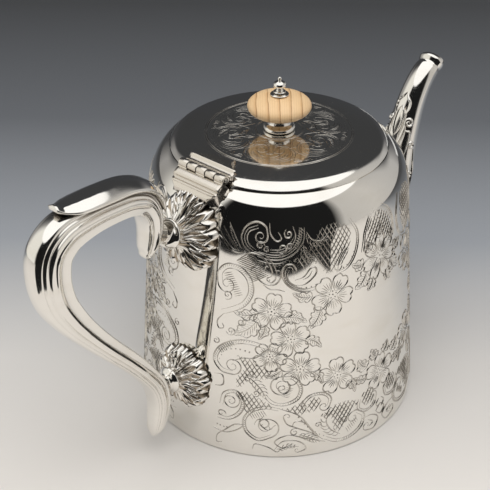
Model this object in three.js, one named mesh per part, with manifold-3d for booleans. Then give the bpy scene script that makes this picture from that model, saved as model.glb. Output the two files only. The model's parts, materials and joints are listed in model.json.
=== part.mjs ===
// A drum-shaped silver teapot with a hinged lid, a cast swan-neck spout, a cast scroll handle on two
// leaf sockets and a turned wooden knob. Millimetres, +Z up. The origin is the centre of the base,
// +X points to the spout, and the handle is on -X. Pieces that are soldered together on the real pot
// keep a small gap (GAP) here.
import * as THREE from "three";
import { mergeVertices } from "three/addons/utils/BufferGeometryUtils.js";
import Module from "manifold-3d";

const wasm = await Module();
wasm.setup();

// ---------------------------------------------------------------- driving dimensions
const GAP = 0.3;
const SHEET = 1.2;
const BASE_RADIUS = 69.7;
const WALL_TAPER = 0.0746;
const SHOULDER_Z = 114;
const RIM_RADIUS = 51;
const RIM_Z = 133.7;
const BASE_EDGE_HEIGHT = 2.6;

const SEAT_HOLE_RADIUS = 46.5;
const LID_RADIUS = RIM_RADIUS - 0.4;
const LID_EDGE_HEIGHT = 2.1;
const LID_CROWN_Z = 139.4;
const BEZEL_RADIUS = 45.3;
const BEZEL_DEPTH = 5.5;

const HINGE_X = -RIM_RADIUS;
const HINGE_Z = 138.2;
const BARREL_RADIUS = 2.1;
const BARREL_LENGTH = 27;
const KNUCKLES = 5;
const PIN_RADIUS = 0.9;
const PIN_HOLE_RADIUS = PIN_RADIUS + GAP;

const KNOB_RADIUS = 14.75;
const KNOB_HEIGHT = 10.4;
const KNOB_Z = 151.3;
const FINIAL_TOP_Z = 165.5;
const BOLT_RADIUS = 1.5;
const BOLT_HOLE_RADIUS = BOLT_RADIUS + GAP;

const SPOUT_ROOT_Z = 38;
const UPPER_SOCKET_Z = 115;
const LOWER_SOCKET_Z = 38;

const ROUND = 48;

// ---------------------------------------------------------------- helpers
const lerp = (a, b, t) => a + (b - a) * t;
const wallRadius = (z) => BASE_RADIUS - WALL_TAPER * z;

function signedVolume(geometry) {
  const p = geometry.getAttribute("position");
  const index = geometry.index.array;
  const [a, b, c] = [new THREE.Vector3(), new THREE.Vector3(), new THREE.Vector3()];
  let sum = 0;
  for (let i = 0; i < index.length; i += 3) {
    a.fromBufferAttribute(p, index[i]);
    b.fromBufferAttribute(p, index[i + 1]);
    c.fromBufferAttribute(p, index[i + 2]);
    sum += a.dot(b.cross(c)) / 6;
  }
  return sum;
}

// The geometry with shared vertices merged and its faces pointing out.
function closed(geometry) {
  const bare = geometry.index ? geometry.toNonIndexed() : geometry.clone();
  bare.deleteAttribute("normal");
  bare.deleteAttribute("uv");
  const merged = mergeVertices(bare, 1e-3);
  if (signedVolume(merged) < 0) {
    const index = merged.index.array;
    for (let i = 0; i < index.length; i += 3) {
      [index[i + 1], index[i + 2]] = [index[i + 2], index[i + 1]];
    }
  }
  return merged;
}

function solid(geometry) {
  const g = closed(geometry);
  const vertProperties = new Float32Array(g.getAttribute("position").array);
  const triVerts = new Uint32Array(g.index.array);
  return new wasm.Manifold(new wasm.Mesh({ numProp: 3, vertProperties, triVerts }));
}

function geometryOf(manifold) {
  const mesh = manifold.getMesh();
  const g = new THREE.BufferGeometry();
  g.setAttribute("position", new THREE.BufferAttribute(new Float32Array(mesh.vertProperties), 3));
  g.setIndex(new THREE.BufferAttribute(new Uint32Array(mesh.triVerts), 1));
  return g;
}

const cut = (geometry, ...tools) =>
  geometryOf(tools.reduce((left, tool) => left.subtract(solid(tool)), solid(geometry)));
const join = (first, ...others) =>
  geometryOf(others.reduce((whole, part) => whole.add(solid(part)), solid(first)));

// A solid of revolution about +Z from a closed outline of [radius, z] points.
function turned(outline, segments = ROUND) {
  const onAxis = outline[0][0] === 0;
  const points = (onAxis ? outline : [...outline, outline[0]]).map(([r, z]) => new THREE.Vector2(r, z));
  return new THREE.LatheGeometry(points, segments).rotateX(Math.PI / 2);
}

// A skin through rings of equal point count, closed with flat caps.
function loft(rings) {
  const count = rings[0].length;
  const positions = rings.flat().flatMap((p) => [p.x, p.y, p.z]);
  const index = [];
  for (let i = 0; i + 1 < rings.length; i++) {
    for (let j = 0; j < count; j++) {
      const [a, b] = [i * count + j, i * count + ((j + 1) % count)];
      index.push(a, b, b + count, a, b + count, a + count);
    }
  }
  for (const end of [0, rings.length - 1]) {
    const centre = rings[end].reduce((s, p) => s.add(p), new THREE.Vector3()).divideScalar(count);
    const c = positions.length / 3;
    positions.push(centre.x, centre.y, centre.z);
    for (let j = 0; j < count; j++) {
      const [a, b] = [end * count + j, end * count + ((j + 1) % count)];
      index.push(...(end === 0 ? [c, b, a] : [c, a, b]));
    }
  }
  const g = new THREE.BufferGeometry();
  g.setAttribute("position", new THREE.Float32BufferAttribute(positions, 3));
  g.setIndex(index);
  return g;
}

// Rings along a guide in the XZ plane. Each guide point is [x, z, size a, size b]; section(a, b) gives
// [across, out] points, where across runs along Y and out runs along the guide's normal.
function sweepRings(guide, steps, section) {
  const places = guide.map(([x, z]) => new THREE.Vector3(x, 0, z));
  const path = new THREE.CatmullRomCurve3(places, false, "centripetal");
  const ahead = 1e-3;
  return Array.from({ length: steps + 1 }, (_, i) => {
    const t = i / steps;
    const centre = path.getPoint(t);
    const before = path.getPoint(Math.max(0, t - ahead));
    const tangent = path.getPoint(Math.min(1, t + ahead)).sub(before).normalize();
    const out = new THREE.Vector3(-tangent.z, 0, tangent.x);
    return section(...sizesAt(guide, t)).map(([across, up]) =>
      new THREE.Vector3(0, across, 0).addScaledVector(out, up).add(centre),
    );
  });
}

// Sizes are interpolated linearly between the guide's points, so that no size overshoots.
function sizesAt(guide, t) {
  const place = t * (guide.length - 1);
  const i = Math.min(guide.length - 2, Math.floor(place));
  const f = place - i;
  return [lerp(guide[i][2], guide[i + 1][2], f), lerp(guide[i][3], guide[i + 1][3], f)];
}

const oval = (sides) => (halfWidth, halfHeight) =>
  Array.from({ length: sides }, (_, i) => {
    const a = (2 * Math.PI * i) / sides;
    return [halfWidth * Math.sin(a), halfHeight * Math.cos(a)];
  });

const cylinderAlongY = (radius, length) => new THREE.CylinderGeometry(radius, radius, length, 16);
const cylinderAlongX = (radius, length, sides) =>
  new THREE.CylinderGeometry(radius, radius, length, sides).rotateZ(Math.PI / 2);
const cylinderAlongZ = (radius, length, sides) =>
  new THREE.CylinderGeometry(radius, radius, length, sides).rotateX(Math.PI / 2);

// An outline of [x, z] points pulled out to a width along Y, centred on Y = 0.
function pulledAlongY(outline, width) {
  const shape = new THREE.Shape(outline.map(([x, z]) => new THREE.Vector2(x, z)));
  const g = new THREE.ExtrudeGeometry(shape, { depth: width, bevelEnabled: false });
  return g.translate(0, 0, -width / 2).rotateX(Math.PI / 2);
}

// ---------------------------------------------------------------- materials
const silver = new THREE.MeshStandardMaterial({ color: 0xd9d4cb, roughness: 0.12, metalness: 1 });
const dullSilver = new THREE.MeshStandardMaterial({ color: 0xa8a49c, roughness: 0.35, metalness: 1 });
const wood = new THREE.MeshStandardMaterial({ color: 0xd9ad72, roughness: 0.45, metalness: 0 });

const teapot = new THREE.Group();
function add(name, geometry, material = silver) {
  const mesh = new THREE.Mesh(closed(geometry), material);
  mesh.name = name;
  teapot.add(mesh);
}

// ---------------------------------------------------------------- pot: shell, base plate, lid seat
// The outside of the pot pushed out by a margin: straight tapered wall, then a quarter-ellipse shoulder.
function outside(margin, shoulderSteps = 7) {
  const shoulder = Array.from({ length: shoulderSteps + 1 }, (_, i) => {
    const a = (Math.PI / 2) * (i / shoulderSteps);
    const r = RIM_RADIUS + (wallRadius(SHOULDER_Z) - RIM_RADIUS) * Math.cos(a);
    return [r + margin, SHOULDER_Z + (RIM_Z - SHOULDER_Z) * Math.sin(a) + margin * Math.sin(a)];
  });
  return [[BASE_RADIUS + margin, 0], [wallRadius(SHOULDER_Z / 2) + margin, SHOULDER_Z / 2], ...shoulder];
}

// The pot as one solid lump, grown by a margin, used to trim what is soldered to it.
function lump(margin) {
  const profile = outside(margin);
  const top = profile[profile.length - 1][1];
  return turned([[0, -margin], [BASE_RADIUS + margin, -margin], ...profile.slice(1), [0, top]]);
}

// The strainer: rings of holes pierced through the wall behind the spout.
function strainerDrills() {
  const HOLE_RADIUS = 1.5;
  const RING_PITCH = 4.6;
  const drills = [];
  for (let ring = 0; ring <= 2; ring++) {
    const holes = ring === 0 ? 1 : 6 * ring;
    for (let i = 0; i < holes; i++) {
      const a = (2 * Math.PI * i) / holes;
      const [y, z] = [ring * RING_PITCH * Math.cos(a), ring * RING_PITCH * Math.sin(a)];
      const drill = cylinderAlongX(HOLE_RADIUS, 12, 8);
      drills.push(drill.translate(wallRadius(SPOUT_ROOT_Z), y, SPOUT_ROOT_Z + z));
    }
  }
  return drills;
}
function bodyShell() {
  const inner = outside(-SHEET).reverse();
  const rim = [RIM_RADIUS, RIM_Z - SHEET];
  return turned([...outside(0), rim, ...inner.slice(1)]);
}
add("body_shell", cut(bodyShell(), ...strainerDrills()));

// A flat plate let into the foot of the wall, with an upstanding edge that follows the wall's taper.
const basePlateRadius = (z) => wallRadius(z) - SHEET - GAP;
add(
  "base_plate",
  turned([
    [0, 0],
    [basePlateRadius(0), 0],
    [basePlateRadius(BASE_EDGE_HEIGHT), BASE_EDGE_HEIGHT],
    [basePlateRadius(BASE_EDGE_HEIGHT) - SHEET, BASE_EDGE_HEIGHT],
    [basePlateRadius(SHEET) - SHEET, SHEET],
    [0, SHEET],
  ]),
  dullSilver,
);

// A flat ring soldered under the shoulder's rim, with a short skirt around the mouth.
const SEAT_TOP_Z = RIM_Z - SHEET - GAP;
const SEAT_OUTER_RADIUS = RIM_RADIUS + 0.2;
const SEAT_SKIRT = 4;
add(
  "lid_seat_ring",
  turned([
    [SEAT_HOLE_RADIUS, SEAT_TOP_Z - SEAT_SKIRT],
    [SEAT_HOLE_RADIUS + SHEET, SEAT_TOP_Z - SEAT_SKIRT],
    [SEAT_HOLE_RADIUS + SHEET, SEAT_TOP_Z - SHEET],
    [SEAT_OUTER_RADIUS, SEAT_TOP_Z - SHEET],
    [SEAT_OUTER_RADIUS, SEAT_TOP_Z],
    [SEAT_HOLE_RADIUS, SEAT_TOP_Z],
  ]),
  dullSilver,
);

// ---------------------------------------------------------------- spout
// Guide points run up the swan neck: [x, z, half width, half depth].
const SPOUT_GUIDE = [
  [58, 30, 15.5, 19],
  [70, 37, 15.5, 17],
  [82, 48, 14, 14],
  [91.5, 64, 12.3, 11.2],
  [98, 82, 10.4, 9.2],
  [103.4, 100, 8.6, 7.9],
  [109.6, 115, 7.5, 6.9],
  [117.6, 126, 6.9, 6],
  [128, 133, 6.5, 5],
];
const SPOUT_WALL = 1.2;
const SPOUT_SIDES = 16;
const SPOUT_STEPS = 20;

function spout() {
  const outer = loft(sweepRings(SPOUT_GUIDE, SPOUT_STEPS, oval(SPOUT_SIDES)));
  const boreGuide = SPOUT_GUIDE.map(([x, z, w, d]) => [x, z, w - SPOUT_WALL, d - SPOUT_WALL]);
  const [lastX, lastZ, w, d] = boreGuide[boreGuide.length - 1];
  boreGuide.push([lastX + 6, lastZ + 2.5, w, d]);
  const bore = loft(sweepRings(boreGuide, SPOUT_STEPS + 2, oval(SPOUT_SIDES)));
  return cut(outer, bore, lump(GAP));
}
add("spout", spout());

// ---------------------------------------------------------------- handle
// Guide points run from the inner hook, over the top and down to the tail: [x, z, half width, thickness].
const HANDLE_GUIDE = [
  [-88.2, 112.8, 3.2, 3.5],
  [-85.6, 114.2, 4.8, 6.4],
  [-83.3, 119, 5.6, 8.4],
  [-83.2, 126, 6, 9.2],
  [-84.4, 133, 6.4, 10],
  [-88.5, 139.8, 6.9, 10.6],
  [-96, 143.8, 7.3, 11],
  [-108, 145.6, 7.6, 11.5],
  [-120, 145.9, 7.8, 12.6],
  [-131.4, 144, 8, 14.8],
  [-138.6, 138, 8, 16],
  [-140.7, 128, 7.9, 16],
  [-138.7, 116.2, 7.7, 14.8],
  [-132.8, 104.2, 7.4, 13],
  [-124.4, 91.8, 7, 11.2],
  [-114.6, 79, 6.8, 10],
  [-104.1, 66.2, 6.6, 9.3],
  [-94.6, 53.4, 6.5, 8.9],
  [-88, 42, 6.4, 8.5],
  [-86, 31.5, 6.2, 7.6],
  [-87.2, 22.5, 5.6, 6.6],
  [-89, 16, 4.4, 4.8],
  [-89.6, 13, 2, 2.4],
];
const HANDLE_STEPS = 46;

// A keystone section: a rounded back, a ridge at its edge, a cove, a side and a narrower rounded inside.
const KEYSTONE = [
  [0, 0.5],
  [0.6, 0.45],
  [0.92, 0.29],
  [1, 0.1],
  [0.84, -0.03],
  [0.78, -0.28],
  [0.7, -0.47],
  [0.3, -0.54],
];
function keystone(halfWidth, thickness) {
  const right = KEYSTONE.map(([s, u]) => [s * halfWidth, u * thickness]);
  const left = right.slice(1).reverse().map(([s, u]) => [-s, u]);
  return [...right, ...left].map(([s, u]) => [s, -u]);
}
function handleAt(dx, dz) {
  const guide = HANDLE_GUIDE.map(([x, z, w, t]) => [x + dx, z + dz, w, t]);
  return loft(sweepRings(guide, HANDLE_STEPS, keystone));
}
add("handle", handleAt(0, 0));

// The thumb leaf: a domed cast strip laid along the top of the handle, its far end turned up.
const LEAF_GUIDE = [
  [-133.2, 156.3, 5.5, 2.6],
  [-129, 155.2, 7.4, 4],
  [-121, 153.6, 8.2, 5.6],
  [-109, 152.6, 8.4, 6.2],
  [-97, 151, 8, 6],
  [-87.5, 147, 7.4, 5.6],
  [-81, 140.3, 6.6, 4.6],
  [-78.4, 133.5, 5, 2.8],
];
const LEAF_DOME = [
  [-1, -0.1],
  [-0.92, 0.2],
  [-0.6, 0.43],
  [0, 0.5],
  [0.6, 0.43],
  [0.92, 0.2],
  [1, -0.1],
  [0.6, -0.5],
  [-0.6, -0.5],
];
const dome = (halfWidth, thickness) => LEAF_DOME.map(([s, u]) => [s * halfWidth, u * thickness]);
const thumbLeaf = loft(sweepRings(LEAF_GUIDE, 22, dome));
add("handle_thumb_leaf", cut(thumbLeaf, handleAt(0, 0), handleAt(0, GAP), handleAt(GAP, GAP)));

// ---------------------------------------------------------------- leaf sockets and necks
// A socket is a rosette of leaves whose edge is scalloped. profile holds [x, share of the full radius].
function rosette(centreZ, halfWidth, halfHeight, profile, lobes) {
  const SIDES = 40;
  const rings = profile.map(([x, share]) =>
    Array.from({ length: SIDES }, (_, i) => {
      const a = (2 * Math.PI * i) / SIDES;
      const scallop = 1 + 0.07 * share * Math.cos(lobes * a);
      const [y, z] = [halfWidth * Math.sin(a), halfHeight * Math.cos(a)];
      return new THREE.Vector3(x, y * share * scallop, centreZ + z * share * scallop);
    }),
  );
  return loft(rings);
}
const UPPER_SOCKET_X = -73;
const LOWER_SOCKET_X = -78;
const UPPER_SOCKET_PROFILE = [
  [-56, 1],
  [-63, 1],
  [-66, 0.9],
  [-69, 0.68],
  [-71, 0.46],
  [UPPER_SOCKET_X, 0.36],
];
const LOWER_SOCKET_PROFILE = [
  [-60, 1],
  [-69, 1],
  [-72, 0.9],
  [-74.5, 0.7],
  [-76.5, 0.5],
  [LOWER_SOCKET_X, 0.42],
];
// The upper rosette stops short of the hinge bracket.
const hingeRoom = new THREE.BoxGeometry(20, 40, 12).translate(HINGE_X + 1, 0, HINGE_Z - 5);
add("upper_socket", cut(rosette(UPPER_SOCKET_Z, 17, 17.5, UPPER_SOCKET_PROFILE, 6), lump(GAP), hingeRoom));
add("lower_socket", cut(rosette(LOWER_SOCKET_Z, 16.5, 18, LOWER_SOCKET_PROFILE, 6), lump(GAP)));

// A neck joins a socket to the handle: [x, z, half width, half height] from the socket outwards.
const UPPER_NECK = [
  [-71, 116, 4.6, 5],
  [-74, 117, 3.9, 4.4],
  [-77, 119, 4.2, 4.8],
  [-82, 121, 4.6, 5.4],
];
const LOWER_NECK = [
  [-76, 38, 4.4, 5],
  [-80, 38, 3.9, 4.4],
  [-84, 38, 4.4, 5],
];
function neck(guide, socketX) {
  const socketRoom = new THREE.BoxGeometry(20, 40, 40).translate(socketX + 10 - GAP, 0, guide[0][1]);
  const rings = sweepRings(guide, 6, oval(16));
  return cut(loft(rings), socketRoom, handleAt(0, 0), handleAt(GAP, 0));
}
add("upper_neck", neck(UPPER_NECK, UPPER_SOCKET_X));
add("lower_neck", neck(LOWER_NECK, LOWER_SOCKET_X));

// ---------------------------------------------------------------- hinge
const KNUCKLE_PITCH = BARREL_LENGTH / KNUCKLES;
const knuckleY = (k) => -BARREL_LENGTH / 2 + KNUCKLE_PITCH * (k + 0.5);
const knuckleLength = KNUCKLE_PITCH - GAP;
const pinHole = () => cylinderAlongY(PIN_HOLE_RADIUS, BARREL_LENGTH + 2).translate(HINGE_X, 0, HINGE_Z);

// One knuckle and the web that carries it: the web runs from the barrel to a point [dx, dz] away.
function knuckle(k, web) {
  const barrel = cylinderAlongY(BARREL_RADIUS, knuckleLength).translate(HINGE_X, knuckleY(k), HINGE_Z);
  const arm = pulledAlongY(web.map(([dx, dz]) => [HINGE_X + dx, HINGE_Z + dz]), knuckleLength);
  return join(barrel, arm.translate(0, knuckleY(k), 0));
}

// A leaf seen from above narrows away from the barrel: outline points are [x, half width].
function narrowed(geometry, plan) {
  const right = plan.map(([x, w]) => new THREE.Vector2(x, w));
  const left = plan.slice().reverse().map(([x, w]) => new THREE.Vector2(x, -w));
  const shape = new THREE.Shape([...right, ...left]);
  const block = new THREE.ExtrudeGeometry(shape, { depth: 40, bevelEnabled: false });
  return geometryOf(solid(geometry).intersect(solid(block.translate(0, 0, HINGE_Z - 20))));
}

const BODY_LEAF_OUTLINE = [
  [-53.2, 137.2],
  [-56.4, 135.2],
  [-56.6, 134.2],
  [-57.8, 133.8],
  [-59.2, 131.8],
  [-59.4, 129.6],
  [-58, 127.6],
  [-53, 127.6],
  [-51.6, 134.4],
  [-51.8, 135.6],
];
const BODY_WEB = [[-0.4, -1.9], [-2.6, -3.6], [-4.6, -3.2], [-3, -0.6], [-1.9, 0.4]];
const bodyLeafPlate = narrowed(pulledAlongY(BODY_LEAF_OUTLINE, BARREL_LENGTH - GAP), [
  [-62, 7.5],
  [-59, 10],
  [-57, 13.3],
  [-50, 13.3],
]);
const lidSweep = cylinderAlongY(BARREL_RADIUS + GAP, BARREL_LENGTH + 2).translate(HINGE_X, 0, HINGE_Z);
const bodyKnuckles = [0, 2, 4].map((k) => knuckle(k, BODY_WEB));
add("hinge_body_leaf", cut(join(cut(bodyLeafPlate, lidSweep), ...bodyKnuckles), lump(GAP), pinHole()));

const LID_LEAF_OUTLINE = [
  [-48.4, 136.9],
  [-48.2, 139],
  [-46.4, 139.2],
  [-44.1, 140.6],
  [-42.8, 140.4],
  [-36.2, 139.6],
  [-35.8, 137],
  [-44, 133],
];
const LID_WEB = [[0.2, -1.7], [4, -1.6], [4, 0.9], [0.2, 1.7]];
const lidLeafPlate = narrowed(pulledAlongY(LID_LEAF_OUTLINE, BARREL_LENGTH - GAP), [
  [-50, 13.3],
  [-44, 13.3],
  [-42.4, 10.4],
  [-41, 6.6],
  [-35, 4.6],
]);

// ---------------------------------------------------------------- lid
const LID_UNDER_Z = SEAT_TOP_Z + GAP;
// Points over the lid's top, grown by a margin: a rounded edge, then a low dome.
function lidTop(margin) {
  return [
    [LID_RADIUS, LID_UNDER_Z + LID_EDGE_HEIGHT],
    [LID_RADIUS - 0.9, RIM_Z + 2.2 + margin],
    [LID_RADIUS - 3, RIM_Z + 3 + margin],
    [LID_RADIUS - 9, RIM_Z + 3.9 + margin],
    [33.6, RIM_Z + 4.8 + margin],
    [18, LID_CROWN_Z - 0.3 + margin],
    [9, LID_CROWN_Z + margin],
  ];
}
function lidDisc() {
  const top = lidTop(0);
  const under = top
    .slice(2)
    .reverse()
    .map(([r, z]) => [r - 0.6, z - SHEET]);
  return turned([
    [BOLT_HOLE_RADIUS, LID_CROWN_Z - SHEET],
    ...under,
    [LID_RADIUS - 2, LID_UNDER_Z + 1.4],
    [LID_RADIUS - 2, LID_UNDER_Z],
    [LID_RADIUS, LID_UNDER_Z],
    ...top,
    [BOLT_HOLE_RADIUS, LID_CROWN_Z],
  ]);
}
add("lid_disc", lidDisc());

// The lid as a solid lump grown upwards by the gap, used to trim the hinge leaf that is soldered to it.
function lidLump() {
  const top = lidTop(GAP);
  const r = LID_RADIUS + GAP;
  const bottom = RIM_Z - 6;
  return turned([[0, bottom], [r, bottom], [r, top[0][1] + GAP], ...top.slice(1), [0, LID_CROWN_Z + GAP]]);
}
const lidKnuckles = [1, 3].map((k) => knuckle(k, LID_WEB));
add("hinge_lid_leaf", cut(join(lidLeafPlate, ...lidKnuckles), lidLump(), pinHole()));
add("hinge_pin", cylinderAlongY(PIN_RADIUS, BARREL_LENGTH + 1).translate(HINGE_X, 0, HINGE_Z), dullSilver);

const BEZEL_TOP_Z = RIM_Z + 1;
add(
  "lid_bezel",
  turned([
    [BEZEL_RADIUS - SHEET, BEZEL_TOP_Z - BEZEL_DEPTH - 1.5],
    [BEZEL_RADIUS, BEZEL_TOP_Z - BEZEL_DEPTH - 1.5],
    [BEZEL_RADIUS, BEZEL_TOP_Z],
    [BEZEL_RADIUS - SHEET, BEZEL_TOP_Z + 0.4],
  ]),
  dullSilver,
);

// ---------------------------------------------------------------- knob
const COLLAR_BASE_Z = LID_CROWN_Z + GAP;
const KNOB_BOTTOM_Z = KNOB_Z - KNOB_HEIGHT / 2;
const KNOB_TOP_Z = KNOB_Z + KNOB_HEIGHT / 2;
add(
  "knob_collar",
  turned(
    [
      [BOLT_HOLE_RADIUS, COLLAR_BASE_Z],
      [6.8, COLLAR_BASE_Z],
      [7.4, COLLAR_BASE_Z + 0.9],
      [6.8, COLLAR_BASE_Z + 2],
      [5.3, COLLAR_BASE_Z + 2.7],
      [4.8, COLLAR_BASE_Z + 4],
      [5.2, KNOB_BOTTOM_Z - GAP],
      [BOLT_HOLE_RADIUS, KNOB_BOTTOM_Z - GAP],
    ],
    32,
  ),
);

function knobWood() {
  const STEPS = 12;
  const side = Array.from({ length: STEPS + 1 }, (_, i) => {
    const a = -Math.PI / 2 + (Math.PI * i) / STEPS;
    return [KNOB_RADIUS * Math.cos(a) ** 0.8, KNOB_Z + (KNOB_HEIGHT / 2) * Math.sin(a)];
  });
  const besideBolt = side.filter(([r]) => r > BOLT_HOLE_RADIUS);
  return turned([[BOLT_HOLE_RADIUS, KNOB_BOTTOM_Z], ...besideBolt, [BOLT_HOLE_RADIUS, KNOB_TOP_Z]], 32);
}
add("knob_wood", knobWood(), wood);

const WASHER_Z = KNOB_TOP_Z + GAP;
add(
  "knob_top_washer",
  turned(
    [
      [BOLT_HOLE_RADIUS, WASHER_Z],
      [4.3, WASHER_Z],
      [4.3, WASHER_Z + 0.5],
      [3.2, WASHER_Z + 0.9],
      [BOLT_HOLE_RADIUS, WASHER_Z + 0.9],
    ],
    24,
  ),
);

const NUT_BOTTOM_Z = LID_CROWN_Z - SHEET - 5;
const FINIAL_Z = WASHER_Z + 0.9 + GAP;
add(
  "finial_bolt",
  turned(
    [
      [0, NUT_BOTTOM_Z - 1],
      [BOLT_RADIUS, NUT_BOTTOM_Z - 1],
      [BOLT_RADIUS, FINIAL_Z],
      [2.9, FINIAL_Z],
      [1.8, FINIAL_Z + 0.9],
      [1.5, FINIAL_Z + 1.7],
      [2.2, FINIAL_Z + 2.4],
      [3.05, FINIAL_Z + 3.4],
      [2.6, FINIAL_Z + 4.6],
      [1.2, FINIAL_Z + 5.5],
      [0.6, FINIAL_TOP_Z - 1.8],
      [0.9, FINIAL_TOP_Z - 0.9],
      [0, FINIAL_TOP_Z],
    ],
    24,
  ),
);

const LINER_Z = LID_CROWN_Z - SHEET - GAP;
const bored = (outerRadius, bottom, top, sides) =>
  cut(
    cylinderAlongZ(outerRadius, top - bottom, sides).translate(0, 0, (top + bottom) / 2),
    cylinderAlongZ(BOLT_HOLE_RADIUS, top - bottom + 2, 16).translate(0, 0, (top + bottom) / 2),
  );
add("knob_under_washer", bored(5.5, LINER_Z - 0.8, LINER_Z, 24), dullSilver);
add("knob_nut", bored(3.6, NUT_BOTTOM_Z, LINER_Z - 0.8 - GAP, 6), dullSilver);

export default teapot;
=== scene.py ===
# Looks for a silver teapot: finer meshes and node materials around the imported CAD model.
# Shapes are written in millimetres in the CAD frame and scaled to metres when a mesh is made.
import json
import math

import bmesh
import bpy
import numpy as np
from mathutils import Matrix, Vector


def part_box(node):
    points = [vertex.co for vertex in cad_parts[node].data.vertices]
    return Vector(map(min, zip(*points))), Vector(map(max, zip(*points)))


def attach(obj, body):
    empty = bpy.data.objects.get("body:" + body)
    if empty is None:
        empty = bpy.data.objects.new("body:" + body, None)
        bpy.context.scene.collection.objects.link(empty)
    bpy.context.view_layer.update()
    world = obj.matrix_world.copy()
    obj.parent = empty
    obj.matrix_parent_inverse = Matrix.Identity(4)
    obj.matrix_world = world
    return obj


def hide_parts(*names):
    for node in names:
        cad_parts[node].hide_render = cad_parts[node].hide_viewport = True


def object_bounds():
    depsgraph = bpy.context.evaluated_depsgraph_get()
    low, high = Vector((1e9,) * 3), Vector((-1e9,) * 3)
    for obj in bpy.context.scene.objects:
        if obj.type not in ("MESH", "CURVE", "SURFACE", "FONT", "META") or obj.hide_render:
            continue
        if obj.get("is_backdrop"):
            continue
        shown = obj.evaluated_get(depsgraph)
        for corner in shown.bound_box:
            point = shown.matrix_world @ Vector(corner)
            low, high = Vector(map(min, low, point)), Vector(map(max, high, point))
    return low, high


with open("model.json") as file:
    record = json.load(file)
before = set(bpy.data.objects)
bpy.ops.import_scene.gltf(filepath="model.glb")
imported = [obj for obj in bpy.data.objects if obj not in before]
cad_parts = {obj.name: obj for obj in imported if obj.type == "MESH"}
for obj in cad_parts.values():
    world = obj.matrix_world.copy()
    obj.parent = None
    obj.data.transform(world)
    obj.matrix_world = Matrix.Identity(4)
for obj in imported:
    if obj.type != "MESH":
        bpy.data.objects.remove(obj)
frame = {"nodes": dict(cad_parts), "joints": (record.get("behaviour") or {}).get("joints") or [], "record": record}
cad_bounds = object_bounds()
scene = bpy.context.scene

MM = 0.001


def box_mm(node):
    """A CAD node's lowest and highest corners at rest, in millimetres."""
    low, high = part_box(node)
    return low / MM, high / MM


BODY_HIGH = box_mm("body_shell")[1]
LID_LOW, LID_HIGH = box_mm("lid_disc")
KNOB_LOW, KNOB_HIGH = box_mm("knob_wood")
HINGE = Vector(frame["joints"][0]["pos_m"]) / MM

BASE_RADIUS = BODY_HIGH.x
RIM_Z = BODY_HIGH.z
WALL_TAPER = 0.0746
SHOULDER_DROP = 19.7
SHOULDER_Z = RIM_Z - SHOULDER_DROP
SHOULDER_TURN = math.radians(66)
RIM_RADIUS = -HINGE.x
SHEET = 1.2
LID_RADIUS = LID_HIGH.x
LID_CROWN_Z = LID_HIGH.z
LID_TOP_RADIUS = LID_RADIUS + 0.15
BOLT_HOLE_RADIUS = 1.8
BOLT_RADIUS = 1.5

# ---------------------------------------------------------------- camera
CAMERA_PLACE = Vector((-0.36377, -0.30599, 0.37921))
CAMERA_TURN = (57.42567, 0.31205, -48.18428)
FOCAL_LENGTH = 84.13
FRONT = Vector((CAMERA_PLACE.x, CAMERA_PLACE.y, 0)).normalized()
RIGHT = Vector((-FRONT.y, FRONT.x, 0))
UP = Vector((0, 0, 1))


def make_camera():
    """A camera where the photograph was taken from, as fitted to the drum's proportions."""
    data = bpy.data.cameras.new("camera")
    data.lens = FOCAL_LENGTH
    data.sensor_width = 36
    camera = bpy.data.objects.new("camera", data)
    camera.location = CAMERA_PLACE
    camera.rotation_euler = [math.radians(angle) for angle in CAMERA_TURN]
    scene.collection.objects.link(camera)
    scene.camera = camera


make_camera()
scene.view_settings.view_transform = "Standard"


# ---------------------------------------------------------------- node helpers
class Nodes:
    """A short way to write a node tree: add() makes a ShaderNode, sets its inputs and links what is given."""

    def __init__(self, tree):
        self.tree = tree
        tree.nodes.clear()

    def add(self, kind, inputs=None, **settings):
        node = self.tree.nodes.new("ShaderNode" + kind)
        for key, value in settings.items():
            setattr(node, key, value)
        for key, value in (inputs or {}).items():
            socket = node.inputs[key]
            if isinstance(value, bpy.types.NodeSocket):
                self.tree.links.new(value, socket)
            else:
                socket.default_value = value
        return node

    def maths(self, operation, a, b=0, c=0):
        return self.add("Math", {0: a, 1: b, 2: c}, operation=operation).outputs[0]

    def times(self, a, b):
        return self.maths("MULTIPLY", a, b)

    def vectors(self, operation, a, b=(0, 0, 0)):
        node = self.add("VectorMath", {0: a, 1: b}, operation=operation)
        return node.outputs["Value" if operation == "DOT_PRODUCT" else "Vector"]

    def ramp(self, value, stops):
        node = self.add("ValToRGB", {0: value})
        elements = node.color_ramp.elements
        while len(elements) < len(stops):
            elements.new(1)
        for element, (place, colour) in zip(elements, stops):
            element.position = place
            element.color = (*colour, 1)
        return node.outputs[0]

    def smoothstep(self, value, low, high):
        return self.add(
            "MapRange",
            {"Value": value, "From Min": low, "From Max": high},
            interpolation_type="SMOOTHSTEP",
        ).outputs[0]

    def mix(self, factor, a, b):
        node = self.add("Mix", {0: factor}, data_type="RGBA")
        for index, value in ((6, a), (7, b)):
            if isinstance(value, bpy.types.NodeSocket):
                self.tree.links.new(value, node.inputs[index])
            else:
                node.inputs[index].default_value = (*value, 1)
        return node.outputs[2]

    def noise(self, vector, scale, detail):
        return self.add("TexNoise", {"Vector": vector, "Scale": scale, "Detail": detail}).outputs["Fac"]

    def stretched(self, vector, scale, rotation=(0, 0, 0)):
        inputs = {"Vector": vector, "Scale": scale, "Rotation": rotation}
        return self.add("Mapping", inputs).outputs[0]

    def bump(self, height, distance, normal=None):
        inputs = {"Height": height, "Distance": distance}
        if normal is not None:
            inputs["Normal"] = normal
        return self.add("Bump", inputs).outputs[0]


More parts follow.
